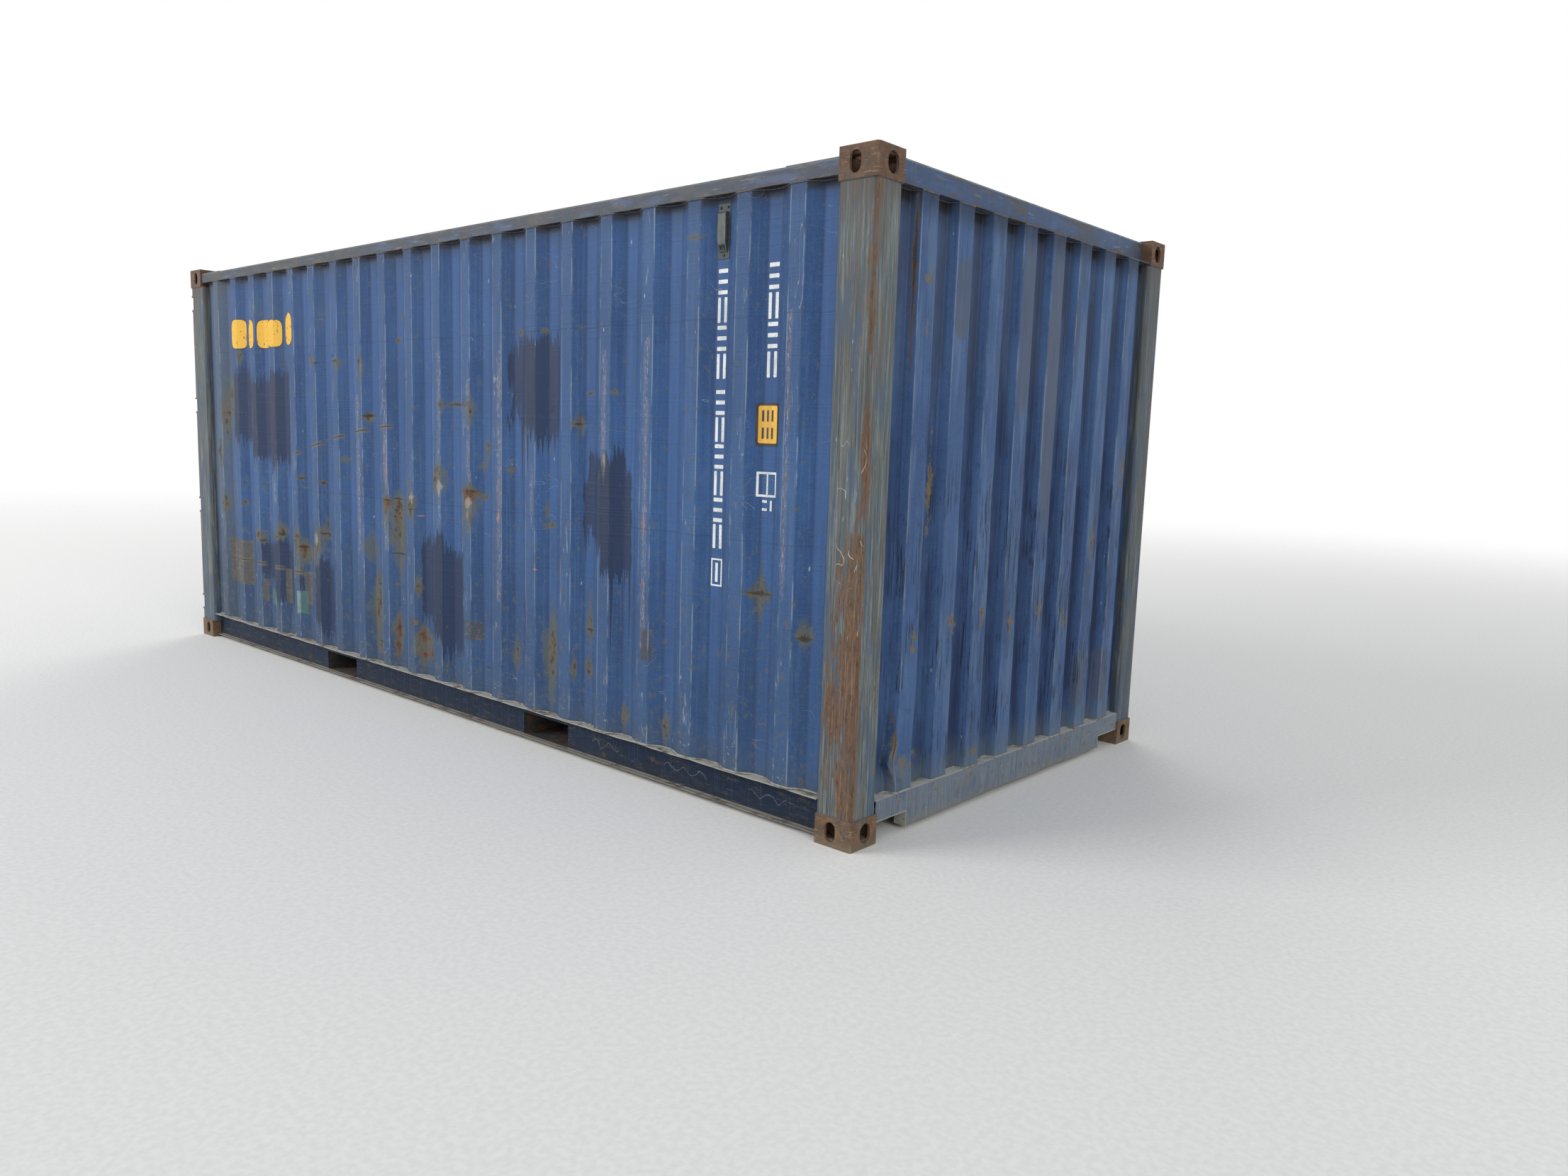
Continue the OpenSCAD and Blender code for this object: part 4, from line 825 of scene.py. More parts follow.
def post_coat(name):
    """Corner posts: blue-grey worn to primer in fine upright streaks, brown rust along the corner."""
    paint = Paint(name, Specular_IOR_Level=0.35)
    fine = paint.noise(0.0045, (1, 1, 60), detail=5, shift=3, rough=0.7)
    streak = paint.noise(0.012, (1, 1, 28), detail=5, shift=5, rough=0.65)
    broad = paint.noise(0.05, (1, 1, 8), detail=4, shift=9)
    on_side = abs(paint.y).ease(1.200, 1.211)
    front = paint.x.ease(2.5, 2.6)
    upper = paint.z.ease(1.0, 2.2)
    paint.prime(broad.ease(0.40, 0.60), (82, 98, 108), (98, 106, 106))
    paint.lay(streak.ease(0.50, 0.55) * 0.65, (66, 86, 110))
    paint.lay(streak.ease(0.48, 0.42) * 0.65, (104, 98, 80))
    thread = paint.noise(0.0090, (1, 1, 40), detail=5, shift=7, rough=0.7)
    paint.lay(thread.ease(0.54, 0.59) * 0.75, (140, 144, 138))
    paint.lay(thread.ease(0.45, 0.40) * 0.75, (56, 60, 62))
    paint.lay(fine.ease(0.53, 0.60) * 0.60, (136, 140, 134))
    paint.lay(fine.ease(0.47, 0.40) * 0.70, (54, 54, 52))
    olive = paint.noise(0.05, (1, 1, 7), detail=5, shift=21, rough=0.62)
    paint.lay((olive + upper * 0.06).ease(0.52, 0.60) * 0.45, (92, 86, 68))
    blue = paint.noise(0.06, (1, 1, 6), detail=5, shift=33, rough=0.6)
    paint.lay((blue - upper * 0.04).ease(0.52, 0.57) * 0.60, (62, 86, 114))
    under = paint.z.ease(2.32, 2.47) * 0.55
    paint.lay(under, (84, 66, 54))
    paint.lay(on_side * (0.22 + upper * 0.14), (56, 58, 58))
    paint.lay((1 - on_side) * upper * 0.16, (92, 112, 120))
    # painted shade on the front face of the front left post
    paint.lay(paint.y.ease(0.9, 1.0) * front * 0.42, (52, 60, 68))

    # rust starts at the rounded corner, and lower down it has torn strips off the side face
    from_corner = (POST_FRONT_X - abs(paint.x)) + (POST_SIDE_Y - abs(paint.y))
    low = paint.z.ease(1.55, 0.75) * paint.z.ease(0.05, 0.3)
    reach = 0.018 + low * front * on_side * 0.10
    strip = paint.noise(0.010, (1, 1, 12), detail=6, shift=27, rough=0.72)
    patch = paint.noise(0.06, (1, 1, 4), detail=5, shift=29, rough=0.65)
    torn = strip * 0.42 + patch * 0.58 + ((1 - from_corner / reach) | -1.6) * 0.10
    torn = torn + low * front * on_side * 0.018
    paint.lay(torn.ease(0.50, 0.54) * 0.85, (100, 75, 55))
    bright = paint.noise(0.012, (1, 1, 4), detail=7, shift=37, rough=0.76)
    rust = torn.ease(0.52, 0.57)
    paint.lay(rust * bright.ease(0.52, 0.62) * 0.75, (132, 92, 60))
    paint.lay(rust * bright.ease(0.48, 0.38) * 0.80, (62, 48, 38))
    nicks = paint.specks(0.022, 0.0035, 0.30, shift=9, tall=4)
    paint.lay(nicks * rust * low * 0.8, (176, 150, 118))
    paint.lay(rust * fine.ease(0.56, 0.62) * 0.60, (160, 138, 112))
    off_corner = (POST_SIDE_Y - abs(paint.y)) - 0.020
    line = abs(off_corner + (broad - 0.5) * 0.012).ease(0.0075, 0.002)
    line = line * (streak * 0.5 + strip * 0.5).ease(0.42, 0.50) * abs(paint.x).ease(2.995, 3.005)
    paint.lay(line * 0.70, (122, 84, 60))
    fork = abs(abs(paint.y) - 1.155 + (broad - 0.5) * 0.010).ease(0.0045, 0.001)
    fork = fork * abs(paint.x).ease(3.012, 3.020) * paint.z.ease(1.55, 1.75)
    paint.lay(fork * streak.ease(0.42, 0.50) * 0.75, (108, 78, 58))
    inner = abs(abs(paint.x) - 2.851 + (broad - 0.5) * 0.008).ease(0.0040, 0.001) * on_side * front
    paint.lay(inner * (streak - upper * 0.04).ease(0.44, 0.50) * 0.75, (122, 86, 64))

    chips = paint.specks(0.03, 0.004, 0.12, shift=4, tall=3)
    paint.lay(chips * 0.6, (160, 160, 150))
    scratch = abs(paint.noise(0.075, (1, 1, 1.2), detail=1, shift=47) - 0.5).ease(0.008, 0.003)
    scratch = scratch * paint.noise(0.10, detail=1, shift=43).ease(0.50, 0.54)
    scratch = scratch * abs(paint.z - 1.28).ease(0.30, 0.20) * abs(paint.x).ease(2.89, 2.91)
    scratch = scratch * on_side * front
    paint.lay(scratch * 0.85, (200, 200, 192))
    arc_y = abs(paint.y) - 1.07 - (0.72 - paint.z) * 0.35
    arc = abs(arc_y).ease(0.006, 0.002) * abs(paint.z - 0.70).ease(0.14, 0.10) * front
    paint.lay(arc * 0.65, (104, 84, 58))
    relief = fine * 0.00030 + streak * 0.0004 + torn.ease(0.50, 0.58) * 0.0006
    rough = 0.60 + torn.ease(0.52, 0.60) * 0.26
    return paint.finish(rough, relief)


def cast_coat(name):
    """Corner castings: rust-brown cast steel, worn paint in the hollows, tan arrises, a pitted skin."""
    paint = Paint(name)
    lump = paint.noise(0.05, detail=6, shift=3, rough=0.65)
    paint.prime(lump.ease(0.38, 0.62), (84, 63, 45), (114, 86, 60))
    bloom = paint.noise(0.02, (1, 1, 1.8), detail=5, shift=9, rough=0.65)
    paint.lay(bloom.ease(0.52, 0.64) * 0.55, (102, 84, 74))
    paint.lay(bloom.ease(0.44, 0.34) * 0.6, (140, 100, 66))
    film = paint.noise(0.04, (1, 1, 1.6), detail=5, shift=15, rough=0.65)
    paint.lay(film.ease(0.58, 0.64) * 0.55, (84, 92, 98))
    skin = paint.noise(0.0030, detail=3, shift=5)
    paint.lay(skin.ease(0.52, 0.75) * 0.45, (150, 126, 102))
    paint.lay(skin.ease(0.45, 0.28) * 0.55, (56, 42, 36))
    corner_x = abs(abs(paint.x) - (HALF_LENGTH - 0.002))
    corner_y = abs(abs(paint.y) - (HALF_WIDTH - 0.002))
    arris = (corner_x + corner_y + bloom * 0.016).ease(0.020, 0.008) * film.ease(0.40, 0.56)
    paint.lay(arris * 0.60, (156, 134, 106))
    paint.lay(paint.z.ease(2.3, 2.4) * 0.38, (76, 50, 40))
    scrape = paint.noise(0.02, (3.5, 3.5, 0.25), detail=3, shift=25).ease(0.62, 0.70)
    paint.lay(scrape * 0.5, (160, 146, 128))
    dust = (paint.z + lump * 0.04).ease(0.09, 0.01)
    paint.lay(dust * 0.45, (116, 108, 90))
    relief = skin * 0.0005 + lump * 0.0012
    return paint.finish(0.72 + skin * 0.12, relief)


def top_rail_coat(name):
    """Top rails: grey-blue, with a painted highlight along the upper edge, painted shade on the lip and
    underside, dark rubbed lengths and a little rust below.
    """
    paint = Paint(name)
    relief, mottle = sea_coat(paint, (30, 44, 66), (40, 56, 80), shift=25)
    on_side = abs(paint.y).ease(1.14, 1.15)
    paint.lay(on_side * 0.78, (22, 32, 46))
    paint.lay((1 - on_side) * 0.42, (58, 88, 130))
    lengths = paint.noise(0.30, (1, 1, 0.25), detail=5, shift=5, rough=0.6)
    paint.lay(lengths.ease(0.52, 0.60) * 0.60, (64, 62, 62))
    paint.lay(lengths.ease(0.46, 0.38) * 0.35, (66, 96, 140))
    aged = paint.x.ease(1.8, -2.4) * on_side
    paint.lay(aged * (0.10 + lengths * 0.5), (66, 66, 62))
    # painted highlight along the rounded upper edge, fainter on the side rails
    top = (paint.z + mottle * 0.006 - abs(paint.x).ease(2.86, 2.87) * 0.027).ease(2.551, 2.556)
    paint.lay(top * (0.60 - on_side * 0.35), (140, 146, 146))
    # painted shadow on the side rails' underside
    soffit = paint.z.ease(2.503, 2.4995) * on_side
    paint.lay(soffit * 0.85, (24, 22, 20))
    # painted shade along the lower lip; the lip also draws a little rust below
    lip = (paint.z - mottle * 0.016).ease(2.498, 2.484)
    paint.lay(lip * 0.50, (50, 50, 52))
    rag = paint.noise(0.03, (3.0, 3.0, 0.6), detail=6, shift=13, rough=0.68)
    amount = rag + lip * 0.07 + top * 0.03 + lengths.ease(0.54, 0.62) * 0.03 - 0.045
    rusted(paint, amount, stain=(92, 84, 74))
    scuff = paint.noise(0.02, (7, 7, 0.35), detail=4, shift=21).ease(0.64, 0.72)
    paint.lay(scuff * 0.5, (140, 150, 158))
    chips = paint.specks(0.04, 0.005, 0.10, shift=8)
    paint.lay(chips * 0.6, (70, 62, 58))
    return paint.finish(0.56 + amount.ease(0.54, 0.64) * 0.25, relief + amount.ease(0.58, 0.66) * 0.0004)


CHALKED = (
    (1.42, 1.62, 0.06, 0.14),
    (1.92, 2.20, 0.06, 0.14),
    (2.44, 2.66, 0.06, 0.14),
)


def bottom_rail_coat(name):
    """Bottom rails: dark blue-grey, dusty towards the ground, pale on the flanges: rubbed paint, with a
    painted highlight on the upper flange's edge.
    """
    paint = Paint(name, Specular_IOR_Level=0.15)
    relief, mottle = sea_coat(paint, (16, 26, 42), (24, 36, 56), shift=35)
    paint.lay(0.60, (20, 27, 40))
    dust = (paint.z + mottle * 0.10).ease(0.15, 0.05)
    paint.lay(dust * 0.28, (66, 66, 66))
    # rubbed paint and a painted highlight, as from the sky, along the upper flange's outer edge
    flange = (paint.z + mottle * 0.004).ease(0.1660, 0.1690) * abs(paint.y).ease(1.170, 1.180)
    paint.lay(flange * 0.90, (172, 170, 162))
    foot = paint.z.ease(0.028, 0.023)
    paint.lay(foot * 0.75, (150, 144, 132))
    rag = paint.noise(0.04, (2.2, 2.2, 0.7), detail=6, shift=13, rough=0.7)
    amount = rag + dust * 0.03 - 0.04
    rusted(paint, amount, warm=(98, 74, 54), stain=(66, 62, 58))
    scuff = paint.noise(0.014, (8, 8, 0.5), detail=4, shift=21, rough=0.6).ease(0.62, 0.70)
    paint.lay(scuff * 0.40, (104, 110, 116))
    wave = paint.math("SINE", paint.x * 62.0) * 0.014
    squiggle = abs(paint.z - 0.095 - wave - (mottle - 0.5) * 0.05).ease(0.0018, 0.0006)
    chalk = near_boxes(paint.x, paint.z, CHALKED)
    paint.lay(squiggle * chalk.ease(0.0, 0.2) * paint.y.ease(-1.0, -1.1) * 0.35, (170, 174, 174))
    return paint.finish(0.60 + amount.ease(0.54, 0.64) * 0.22, relief + amount.ease(0.58, 0.66) * 0.0004)


def sill_coat(name):
    """The front sill: pale dusty blue, rubbed bare along its ledge and lower edge, with runs of dirt."""
    paint = Paint(name)
    relief, mottle = sea_coat(paint, (94, 104, 114), (108, 116, 124), shift=45)
    runs = paint.noise(0.008, (1, 1, 20), detail=4, shift=51, rough=0.65)
    paint.lay(runs.ease(0.50, 0.66) * 0.45, (138, 146, 150))
    paint.lay(runs.ease(0.48, 0.34) * 0.45, (74, 84, 90))
    cloud = paint.noise(0.12, detail=5, shift=53, rough=0.6)
    paint.lay(cloud.ease(0.50, 0.64) * 0.5, (112, 118, 116))
    low = (paint.z + mottle * 0.05).ease(0.10, 0.02)
    paint.lay(low * 0.55, (126, 120, 106))
    arris = (paint.z + mottle * 0.004).ease(0.026, 0.020)
    paint.lay(arris * 0.6, (158, 154, 140))
    ledge = (paint.z + mottle * 0.003).ease(0.1675, 0.1705)
    paint.lay(ledge * 0.85, (188, 188, 182))
    notch = abs(abs(paint.y) - 0.852).ease(0.005, 0.002) * paint.z.ease(0.086, 0.083)
    notch = notch | abs(paint.z - 0.082).ease(0.004, 0.002) * abs(paint.y).ease(0.846, 0.850)
    paint.lay(notch * 0.75, (168, 166, 156))
    rag = paint.noise(0.03, (2, 2, 1), detail=6, shift=13, rough=0.7)
    near_notch = abs(paint.y).ease(0.76, 0.92)
    amount = rag + low * 0.04 + near_notch * 0.02 - 0.055
    rusted(paint, amount, stain=(112, 104, 86))
    scuff = paint.noise(0.012, (8, 8, 0.6), detail=4, shift=21, rough=0.6).ease(0.64, 0.70)
    paint.lay(scuff * 0.5, (158, 162, 160))
    return paint.finish(0.58 + amount.ease(0.54, 0.64) * 0.24, relief + amount.ease(0.58, 0.66) * 0.0004)


# ---------------------------------------------------------------- roof, underframe, floor


def roof_coat(name):
    """The roof: sun-faded blue, dirt dried in the low places, rust on the ribs."""
    paint = Paint(name)
    relief = sea_coat(paint, (74, 98, 134), (98, 120, 150), shift=55)[0]
    pool = paint.noise(0.5, (1, 1.6, 1), detail=5, shift=5, rough=0.6)
    paint.lay(pool.ease(0.48, 0.62) * 0.55, (112, 110, 102))
    paint.lay(pool.ease(0.60, 0.66) * 0.45, (82, 78, 70))
    rag = paint.noise(0.07, (1, 3, 1), detail=5, shift=13, rough=0.68)
    rib = paint.z.ease(2.568, 2.579)
    amount = rag + rib * 0.045
    rusted(paint, amount, warm=(136, 88, 58), stain=(104, 92, 80))
    scuff = paint.noise(0.03, (0.4, 7, 1), detail=4, shift=21).ease(0.62, 0.70)
    paint.lay(scuff * 0.5, (150, 158, 166))
    return paint.finish(0.62 + amount.ease(0.56, 0.66) * 0.2, relief + amount.ease(0.58, 0.66) * 0.0005)


def underframe_coat(name):
    """Underframe: black bitumen coat, rust through it at the edges, road dust."""
    paint = Paint(name)
    lump = paint.noise(0.03, detail=5, shift=3, rough=0.65)
    paint.prime(lump.ease(0.38, 0.64), (38, 40, 44), (58, 58, 58))
    dust = paint.noise(0.25, detail=4, shift=9)
    paint.lay(dust.ease(0.48, 0.66) * 0.5, (96, 90, 80))
    rag = paint.noise(0.05, (1, 2, 1), detail=5, shift=13, rough=0.68)
    rusted(paint, rag + 0.04, warm=(112, 74, 52), stain=(78, 66, 56))
    return paint.finish(0.66 + lump * 0.15, lump * 0.0009)


def plywood(name):
    """Floor boards: worn hardwood ply, the grain along each board, plies on the edges, stains."""
    paint = Paint(name)
    grain = paint.noise(0.006, (60, 1, 1), detail=4, shift=3)
    figure = paint.noise(0.05, (12, 1, 1), detail=3, shift=7)
    paint.prime(figure.ease(0.38, 0.62), (126, 92, 62), (150, 112, 78))
    paint.lay(grain.ease(0.46, 0.34) * 0.6, (92, 64, 44))
    ply = abs(paint.z % 0.0028 - 0.0014).ease(0.0004, 0.0010)
    edge = paint.z.ease(0.1665, 0.1655) * paint.z.ease(0.1395, 0.1405)
    paint.lay(edge * ply * 0.5, (84, 58, 40))
    stain = paint.noise(0.4, detail=4, shift=13)
    paint.lay(stain.ease(0.52, 0.66) * 0.5, (76, 62, 50))
    return paint.finish(0.66 + grain * 0.12, grain * 0.0006)


# ---------------------------------------------------------------- doors and their gear


def door_coat(name):
    """Door frames and panels: the walls' blue, streaked with rust below the gear and dusty at the foot."""
    paint = Paint(name)
    relief, mottle = sea_coat(paint, (38, 66, 112), (50, 82, 134), shift=65)
    blotch = paint.noise(0.14, (1, 1, 2.4), detail=4, shift=11)
    paint.lay(blotch.ease(0.50, 0.68) * 0.4, (84, 98, 114))
    repaint = paint.noise(0.42, (1, 1, 1.3), detail=3, shift=23).ease(0.62, 0.66)
    paint.lay(repaint * 0.7, (40, 58, 98))
    rag = paint.noise(0.05, (1, 1, 2.5), detail=5, shift=13, rough=0.68)
    rod_line = abs(abs(abs(paint.y) - 0.605) - 0.275).ease(0.06, 0.01)
    amount = rag + rod_line * 0.05 + paint.z.ease(0.7, 0.25) * 0.03
    rusted(paint, amount, warm=(128, 88, 60), stain=(98, 92, 82))
    foot = (paint.z + mottle * 0.12).ease(0.45, 0.22)
    paint.lay(foot * 0.35, (104, 108, 108))
    chips = paint.specks(0.05, 0.006, 0.12, shift=2, tall=2.0)
    paint.lay(chips * 0.7, (160, 164, 166))
    return paint.finish(0.54 + amount.ease(0.56, 0.66) * 0.25, relief + amount.ease(0.58, 0.66) * 0.0005)


def seal_rubber(name):
    """Door seals: black rubber gone grey, with dust in fine cracks."""
    paint = Paint(name)
    bloom = paint.noise(0.09, (1, 1, 2), detail=4, shift=3)
    paint.prime(bloom.ease(0.42, 0.64), (26, 27, 28), (52, 52, 50))
    crack = paint.noise(0.004, (1, 1, 0.6), detail=3, shift=7)
    paint.lay(crack.ease(0.58, 0.70) * 0.5, (92, 88, 80))
    return paint.finish(0.72 + bloom * 0.15, crack * 0.0003)


def hinge_coat(name):
    """Hinges: painted over forgings with rust bleeding round the pins."""
    paint = Paint(name)
    relief = sea_coat(paint, (52, 72, 108), (70, 92, 128), shift=75)[0]
    rag = paint.noise(0.02, (1, 1, 2), detail=5, shift=13, rough=0.68)
    rusted(paint, rag + 0.07, warm=(130, 84, 56), stain=(96, 84, 74))
    skin = paint.noise(0.003, detail=2, shift=4)
    return paint.finish(0.6 + rag * 0.2, relief + skin * 0.0003)


def zinc(name, shift, wear):
    """Galvanised gear: dull spangled zinc, white bloom, rust where it was rubbed through."""
    paint = Paint(name, Metallic=0.55)
    spangle = paint.node("TexVoronoi", {}, {"Vector": paint.place, "Scale": 95.0}, out="Color")
    patchy = paint.node("SeparateColor", {}, {0: spangle})
    paint.prime(patchy, (126, 130, 132), (156, 158, 158))
    bloom = paint.noise(0.05, (1, 1, 3), detail=5, shift=shift)
    paint.lay(bloom.ease(0.50, 0.66) * 0.6, (176, 176, 170))
    grime = paint.noise(0.02, (1, 1, 8), detail=4, shift=shift + 5)
    paint.lay(grime.ease(0.50, 0.68) * 0.6, (84, 80, 76))
    rag = paint.noise(0.03, (1, 1, 2.5), detail=5, shift=shift + 9, rough=0.68)
    rusted(paint, rag + wear, warm=(136, 88, 58), stain=(112, 98, 84))
    rough = 0.46 + patchy * 0.10 + (rag + wear).ease(0.50, 0.62) * 0.35
    return paint.finish(rough, rag * 0.0004)


def vent_plastic(name):
    """Ventilators: grey-green moulded hoods, with painted shade on the sides near the wall and on the plate
    behind, chalky and streaked.
    """
    paint = Paint(name)
    mottle = paint.noise(0.02, (1, 1, 2), detail=4, shift=3)
    paint.prime(mottle.ease(0.35, 0.65), (74, 82, 80), (92, 98, 92))
    # painted shade on the plate behind the hood and on the hood's sides near it
    behind = (abs(paint.y)).ease(1.192, 1.186)
    paint.lay(behind * 0.8, (46, 50, 54))
    chalk = paint.noise(0.008, detail=3, shift=7)
    paint.lay(chalk.ease(0.55, 0.72) * 0.35, (122, 124, 116))
    rain = paint.noise(0.005, (1, 1, 30), detail=2, shift=11)
    paint.lay(rain.ease(0.5, 0.7) * 0.3, (56, 58, 58))
    return paint.finish(0.56 + mottle * 0.12, chalk * 0.0002)


def weld_coat(name):
    """Weld beads and the sealant over them: dark, lumpy, with paint and rust on it."""
    paint = Paint(name)
    bead = paint.noise(0.006, detail=3, shift=3)
    paint.prime(bead.ease(0.4, 0.62), (52, 58, 70), (86, 92, 98))
    rag = paint.noise(0.05, detail=4, shift=9, rough=0.65)
    dusty = paint.z.ease(0.30, 0.25) * abs(paint.z - 0.118).ease(0.005, 0.015)
    paint.lay(dusty * 0.80, (160, 158, 150))
    rusted(paint, rag + 0.05 - dusty * 0.03, warm=(120, 84, 60), stain=(92, 84, 76))
    return paint.finish(0.68 + rag * 0.1, bead * 0.0008)


def mark_paint(name, fresh, tired, gone, wear):
    """Stencil paint or film for the marks: dulled, with pinholes where the wall's coat shows."""
    paint = Paint(name)
    soil = paint.noise(0.05, (1, 1, 3), detail=4, shift=3)
    paint.prime(soil.ease(0.40, 0.66), fresh, tired)
    fray = paint.noise(0.007, detail=3, shift=7, rough=0.6)
    paint.lay(fray.ease(wear, wear - 0.03) * 0.8, gone)
    return paint.finish(0.5 + soil * 0.12, fray * 0.0002)


# ---------------------------------------------------------------- the maker's hands


def alone(piece):
    """Selects this piece and nothing else."""
    if bpy.context.object and bpy.context.object.mode != "OBJECT":
        bpy.ops.object.mode_set(mode="OBJECT")
    bpy.ops.object.select_all(action="DESELECT")
    piece.select_set(True)
    bpy.context.view_layer.objects.active = piece
    return piece


def pick(piece, kind, test):
    """Opens the piece in edit mode and picks only the faces, edges or verts for which test(item) holds."""
    if bpy.context.object is not piece or piece.mode != "EDIT":
        alone(piece)
        bpy.ops.object.mode_set(mode="EDIT")
    bpy.ops.mesh.select_mode(type={"verts": "VERT", "edges": "EDGE", "faces": "FACE"}[kind])
    bpy.ops.mesh.select_all(action="DESELECT")
    mesh = bmesh.from_edit_mesh(piece.data)
    for item in getattr(mesh, kind):
        if test(item):
            item.select_set(True)
    mesh.select_flush_mode()
    bmesh.update_edit_mesh(piece.data)


def close(piece):
    """Leaves edit mode."""
    bpy.ops.object.mode_set(mode="OBJECT")
    return piece


def cut_through(piece, axis, level):
    """Cuts the piece's faces along the plane at this level of an axis, and stays in edit mode."""
    place = [0.0, 0.0, 0.0]
    turn = [0.0, 0.0, 0.0]
    place[axis] = level
    turn[axis] = 1.0
    pick(piece, "faces", lambda f: True)
    bpy.ops.mesh.bisect(plane_co=place, plane_no=turn)


def upright_plane(width, height, at):
    """A plane with its middle at this place, this wide along X and this high along Z."""
    bpy.ops.mesh.primitive_plane_add(size=1, location=at, rotation=(math.pi / 2, 0, 0))
    plane = bpy.context.object
    plane.scale = (width, height, 1)
    alone(plane)
    bpy.ops.object.transform_apply(location=True, rotation=True, scale=True)
    return plane


def with_modifier(piece, kind, **settings):
    """Adds a modifier with these settings and applies it."""
    alone(piece)
    modifier = piece.modifiers.new(kind.lower(), kind)
    for name, value in settings.items():
        setattr(modifier, name, value)
    bpy.ops.object.modifier_apply(modifier=modifier.name)
    return piece


def settle(piece, name, paint, angle=30, flat=False):
    """Names a finished piece, puts its place into its mesh, shades it and lets it ride on the container.
    Flat keeps the broad faces flat in the shading, beside rounded bends."""
    alone(piece)
    piece.name = name
    piece.data.name = name
    bpy.ops.object.transform_apply(location=True, rotation=True, scale=True)
    bpy.ops.object.shade_smooth_by_angle(angle=math.radians(angle))
    if flat:
        with_modifier(piece, "WEIGHTED_NORMAL", keep_sharp=True, weight=80)
    paint.on(piece)
    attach(piece, "root")
    return piece


def copy_of(node, name):
    """A merged copy of a CAD node's mesh, with its flat faces whole again."""
    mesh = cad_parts[node].data.copy()
    piece = bpy.data.objects.new(name, mesh)
    bpy.context.scene.collection.objects.link(piece)
    mesh.materials.clear()
    alone(piece)
    bpy.ops.mesh.customdata_custom_splitnormals_clear()
    bpy.ops.object.mode_set(mode="EDIT")
    bpy.ops.mesh.select_all(action="SELECT")
    bpy.ops.mesh.remove_doubles(threshold=0.00002)
    bpy.ops.mesh.dissolve_limited(angle_limit=math.radians(0.5))
    bpy.ops.object.mode_set(mode="OBJECT")
    return piece


def broken_edges(node, paint, width, segments=2, angle=30):
    """A copy of the node whose edges are rounded to this width, standing for the node."""
    piece = copy_of(node, node + "_worn")
    with_modifier(piece, "BEVEL", width=width, segments=segments, limit_method="ANGLE",
                  angle_limit=math.radians(angle), harden_normals=False, miter_outer="MITER_ARC")
    settle(piece, node + "_worn", paint, flat=True)
    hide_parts(node)
    return piece


def bead(name, points, radius, paint, slot):
    """A weld bead along the points."""
    line = bpy.data.curves.new(name, "CURVE")
    line.dimensions = "3D"
    line.bevel_depth = radius
    line.bevel_resolution = 1
    line.use_fill_caps = True
    run = line.splines.new("POLY")
    run.points.add(len(points) - 1)
    for place, point in zip(run.points, points):
        place.co = (*point, 1.0)
    piece = bpy.data.objects.new(name, line)
    bpy.context.scene.collection.objects.link(piece)
    alone(piece)
    bpy.ops.object.convert(target="MESH")
    return settle(bpy.context.object, name, paint, angle=60)


# ---------------------------------------------------------------- corrugated sheets


def corrugated(name, first, count, pitch, crest, slope, depth, ends, foot, top, outward):
    """A sheet along X that stands from foot to top, its troughs at Y = 0 and its crests depth away,
    outward being -1 or 1. The first crest's face is extruded into one wave, which is then repeated."""
    height = top - foot
    sheet = upright_plane(crest, height, (first, outward * depth, foot + height / 2))
    sheet.name = name
    trough = pitch - crest - 2 * slope

    def extend(at, step):
        """Extrudes the upright edge at this X by a step."""
        pick(sheet, "edges", lambda e: all(abs(v.co.x - at) < 1e-5 for v in e.verts))
        bpy.ops.mesh.extrude_region_move(TRANSFORM_OT_translate={"value": step})
        return at + step[0]

    left = first - crest / 2
    right = first + crest / 2
    extend(left, (-slope, -outward * depth, 0))
    bend = extend(right, (slope, -outward * depth, 0))
    extend(bend, (trough, 0, 0))
    close(sheet)
    with_modifier(sheet, "ARRAY", count=count, use_relative_offset=False, use_constant_offset=True,
                  constant_offset_displace=(pitch, 0, 0), use_merge_vertices=True, merge_threshold=0.0001)
    start = left - slope
    last = bend + trough + (count - 1) * pitch
    extend(start, (ends[0] - start, 0, 0))
    pick(sheet, "verts", lambda v: abs(v.co.x - last) < 1e-4)
    bpy.ops.transform.translate(value=(ends[1] - last, 0, 0))
    return close(sheet)


def form_sheet(sheet, radius, rows, outward):
    """Rounds the bends of a corrugated sheet and cuts it finely enough to be dented."""
    def upright(edge):
        return abs(edge.verts[0].co.z - edge.verts[1].co.z) > 0.01

    def bent(edge):
        return upright(edge) and len(edge.link_faces) == 2 and edge.calc_face_angle() > 0.2

    pick(sheet, "edges", bent)
    bpy.ops.mesh.bevel(offset=radius, segments=2, affect="EDGES", clamp_overlap=True)
    pick(sheet, "edges", upright)
    bpy.ops.mesh.subdivide(number_cuts=rows)
    pick(sheet, "edges", lambda e: not upright(e) and e.calc_length() > 0.05)
    bpy.ops.mesh.subdivide(number_cuts=2)
    pick(sheet, "faces", lambda f: True)
    bpy.ops.mesh.normals_make_consistent(inside=False)
    mesh = bmesh.from_edit_mesh(sheet.data)
    facing = sum(face.normal.y for face in mesh.faces)
    if facing * outward < 0:
        bpy.ops.mesh.flip_normals()
    return close(sheet)


def dent(sheet, at, push, reach, falloff="SMOOTH"):
    """Pushes the point nearest to a place, and the sheet round it, smoothly or to a sharp point."""
    target = Vector(at)
    nearest = min(sheet.data.vertices, key=lambda v: (v.co - target).length_squared).index
    pick(sheet, "verts", lambda v: v.index == nearest)
    bpy.ops.transform.translate(value=push, use_proportional_edit=True, proportional_edit_falloff=falloff,
                                proportional_size=reach)
    return close(sheet)


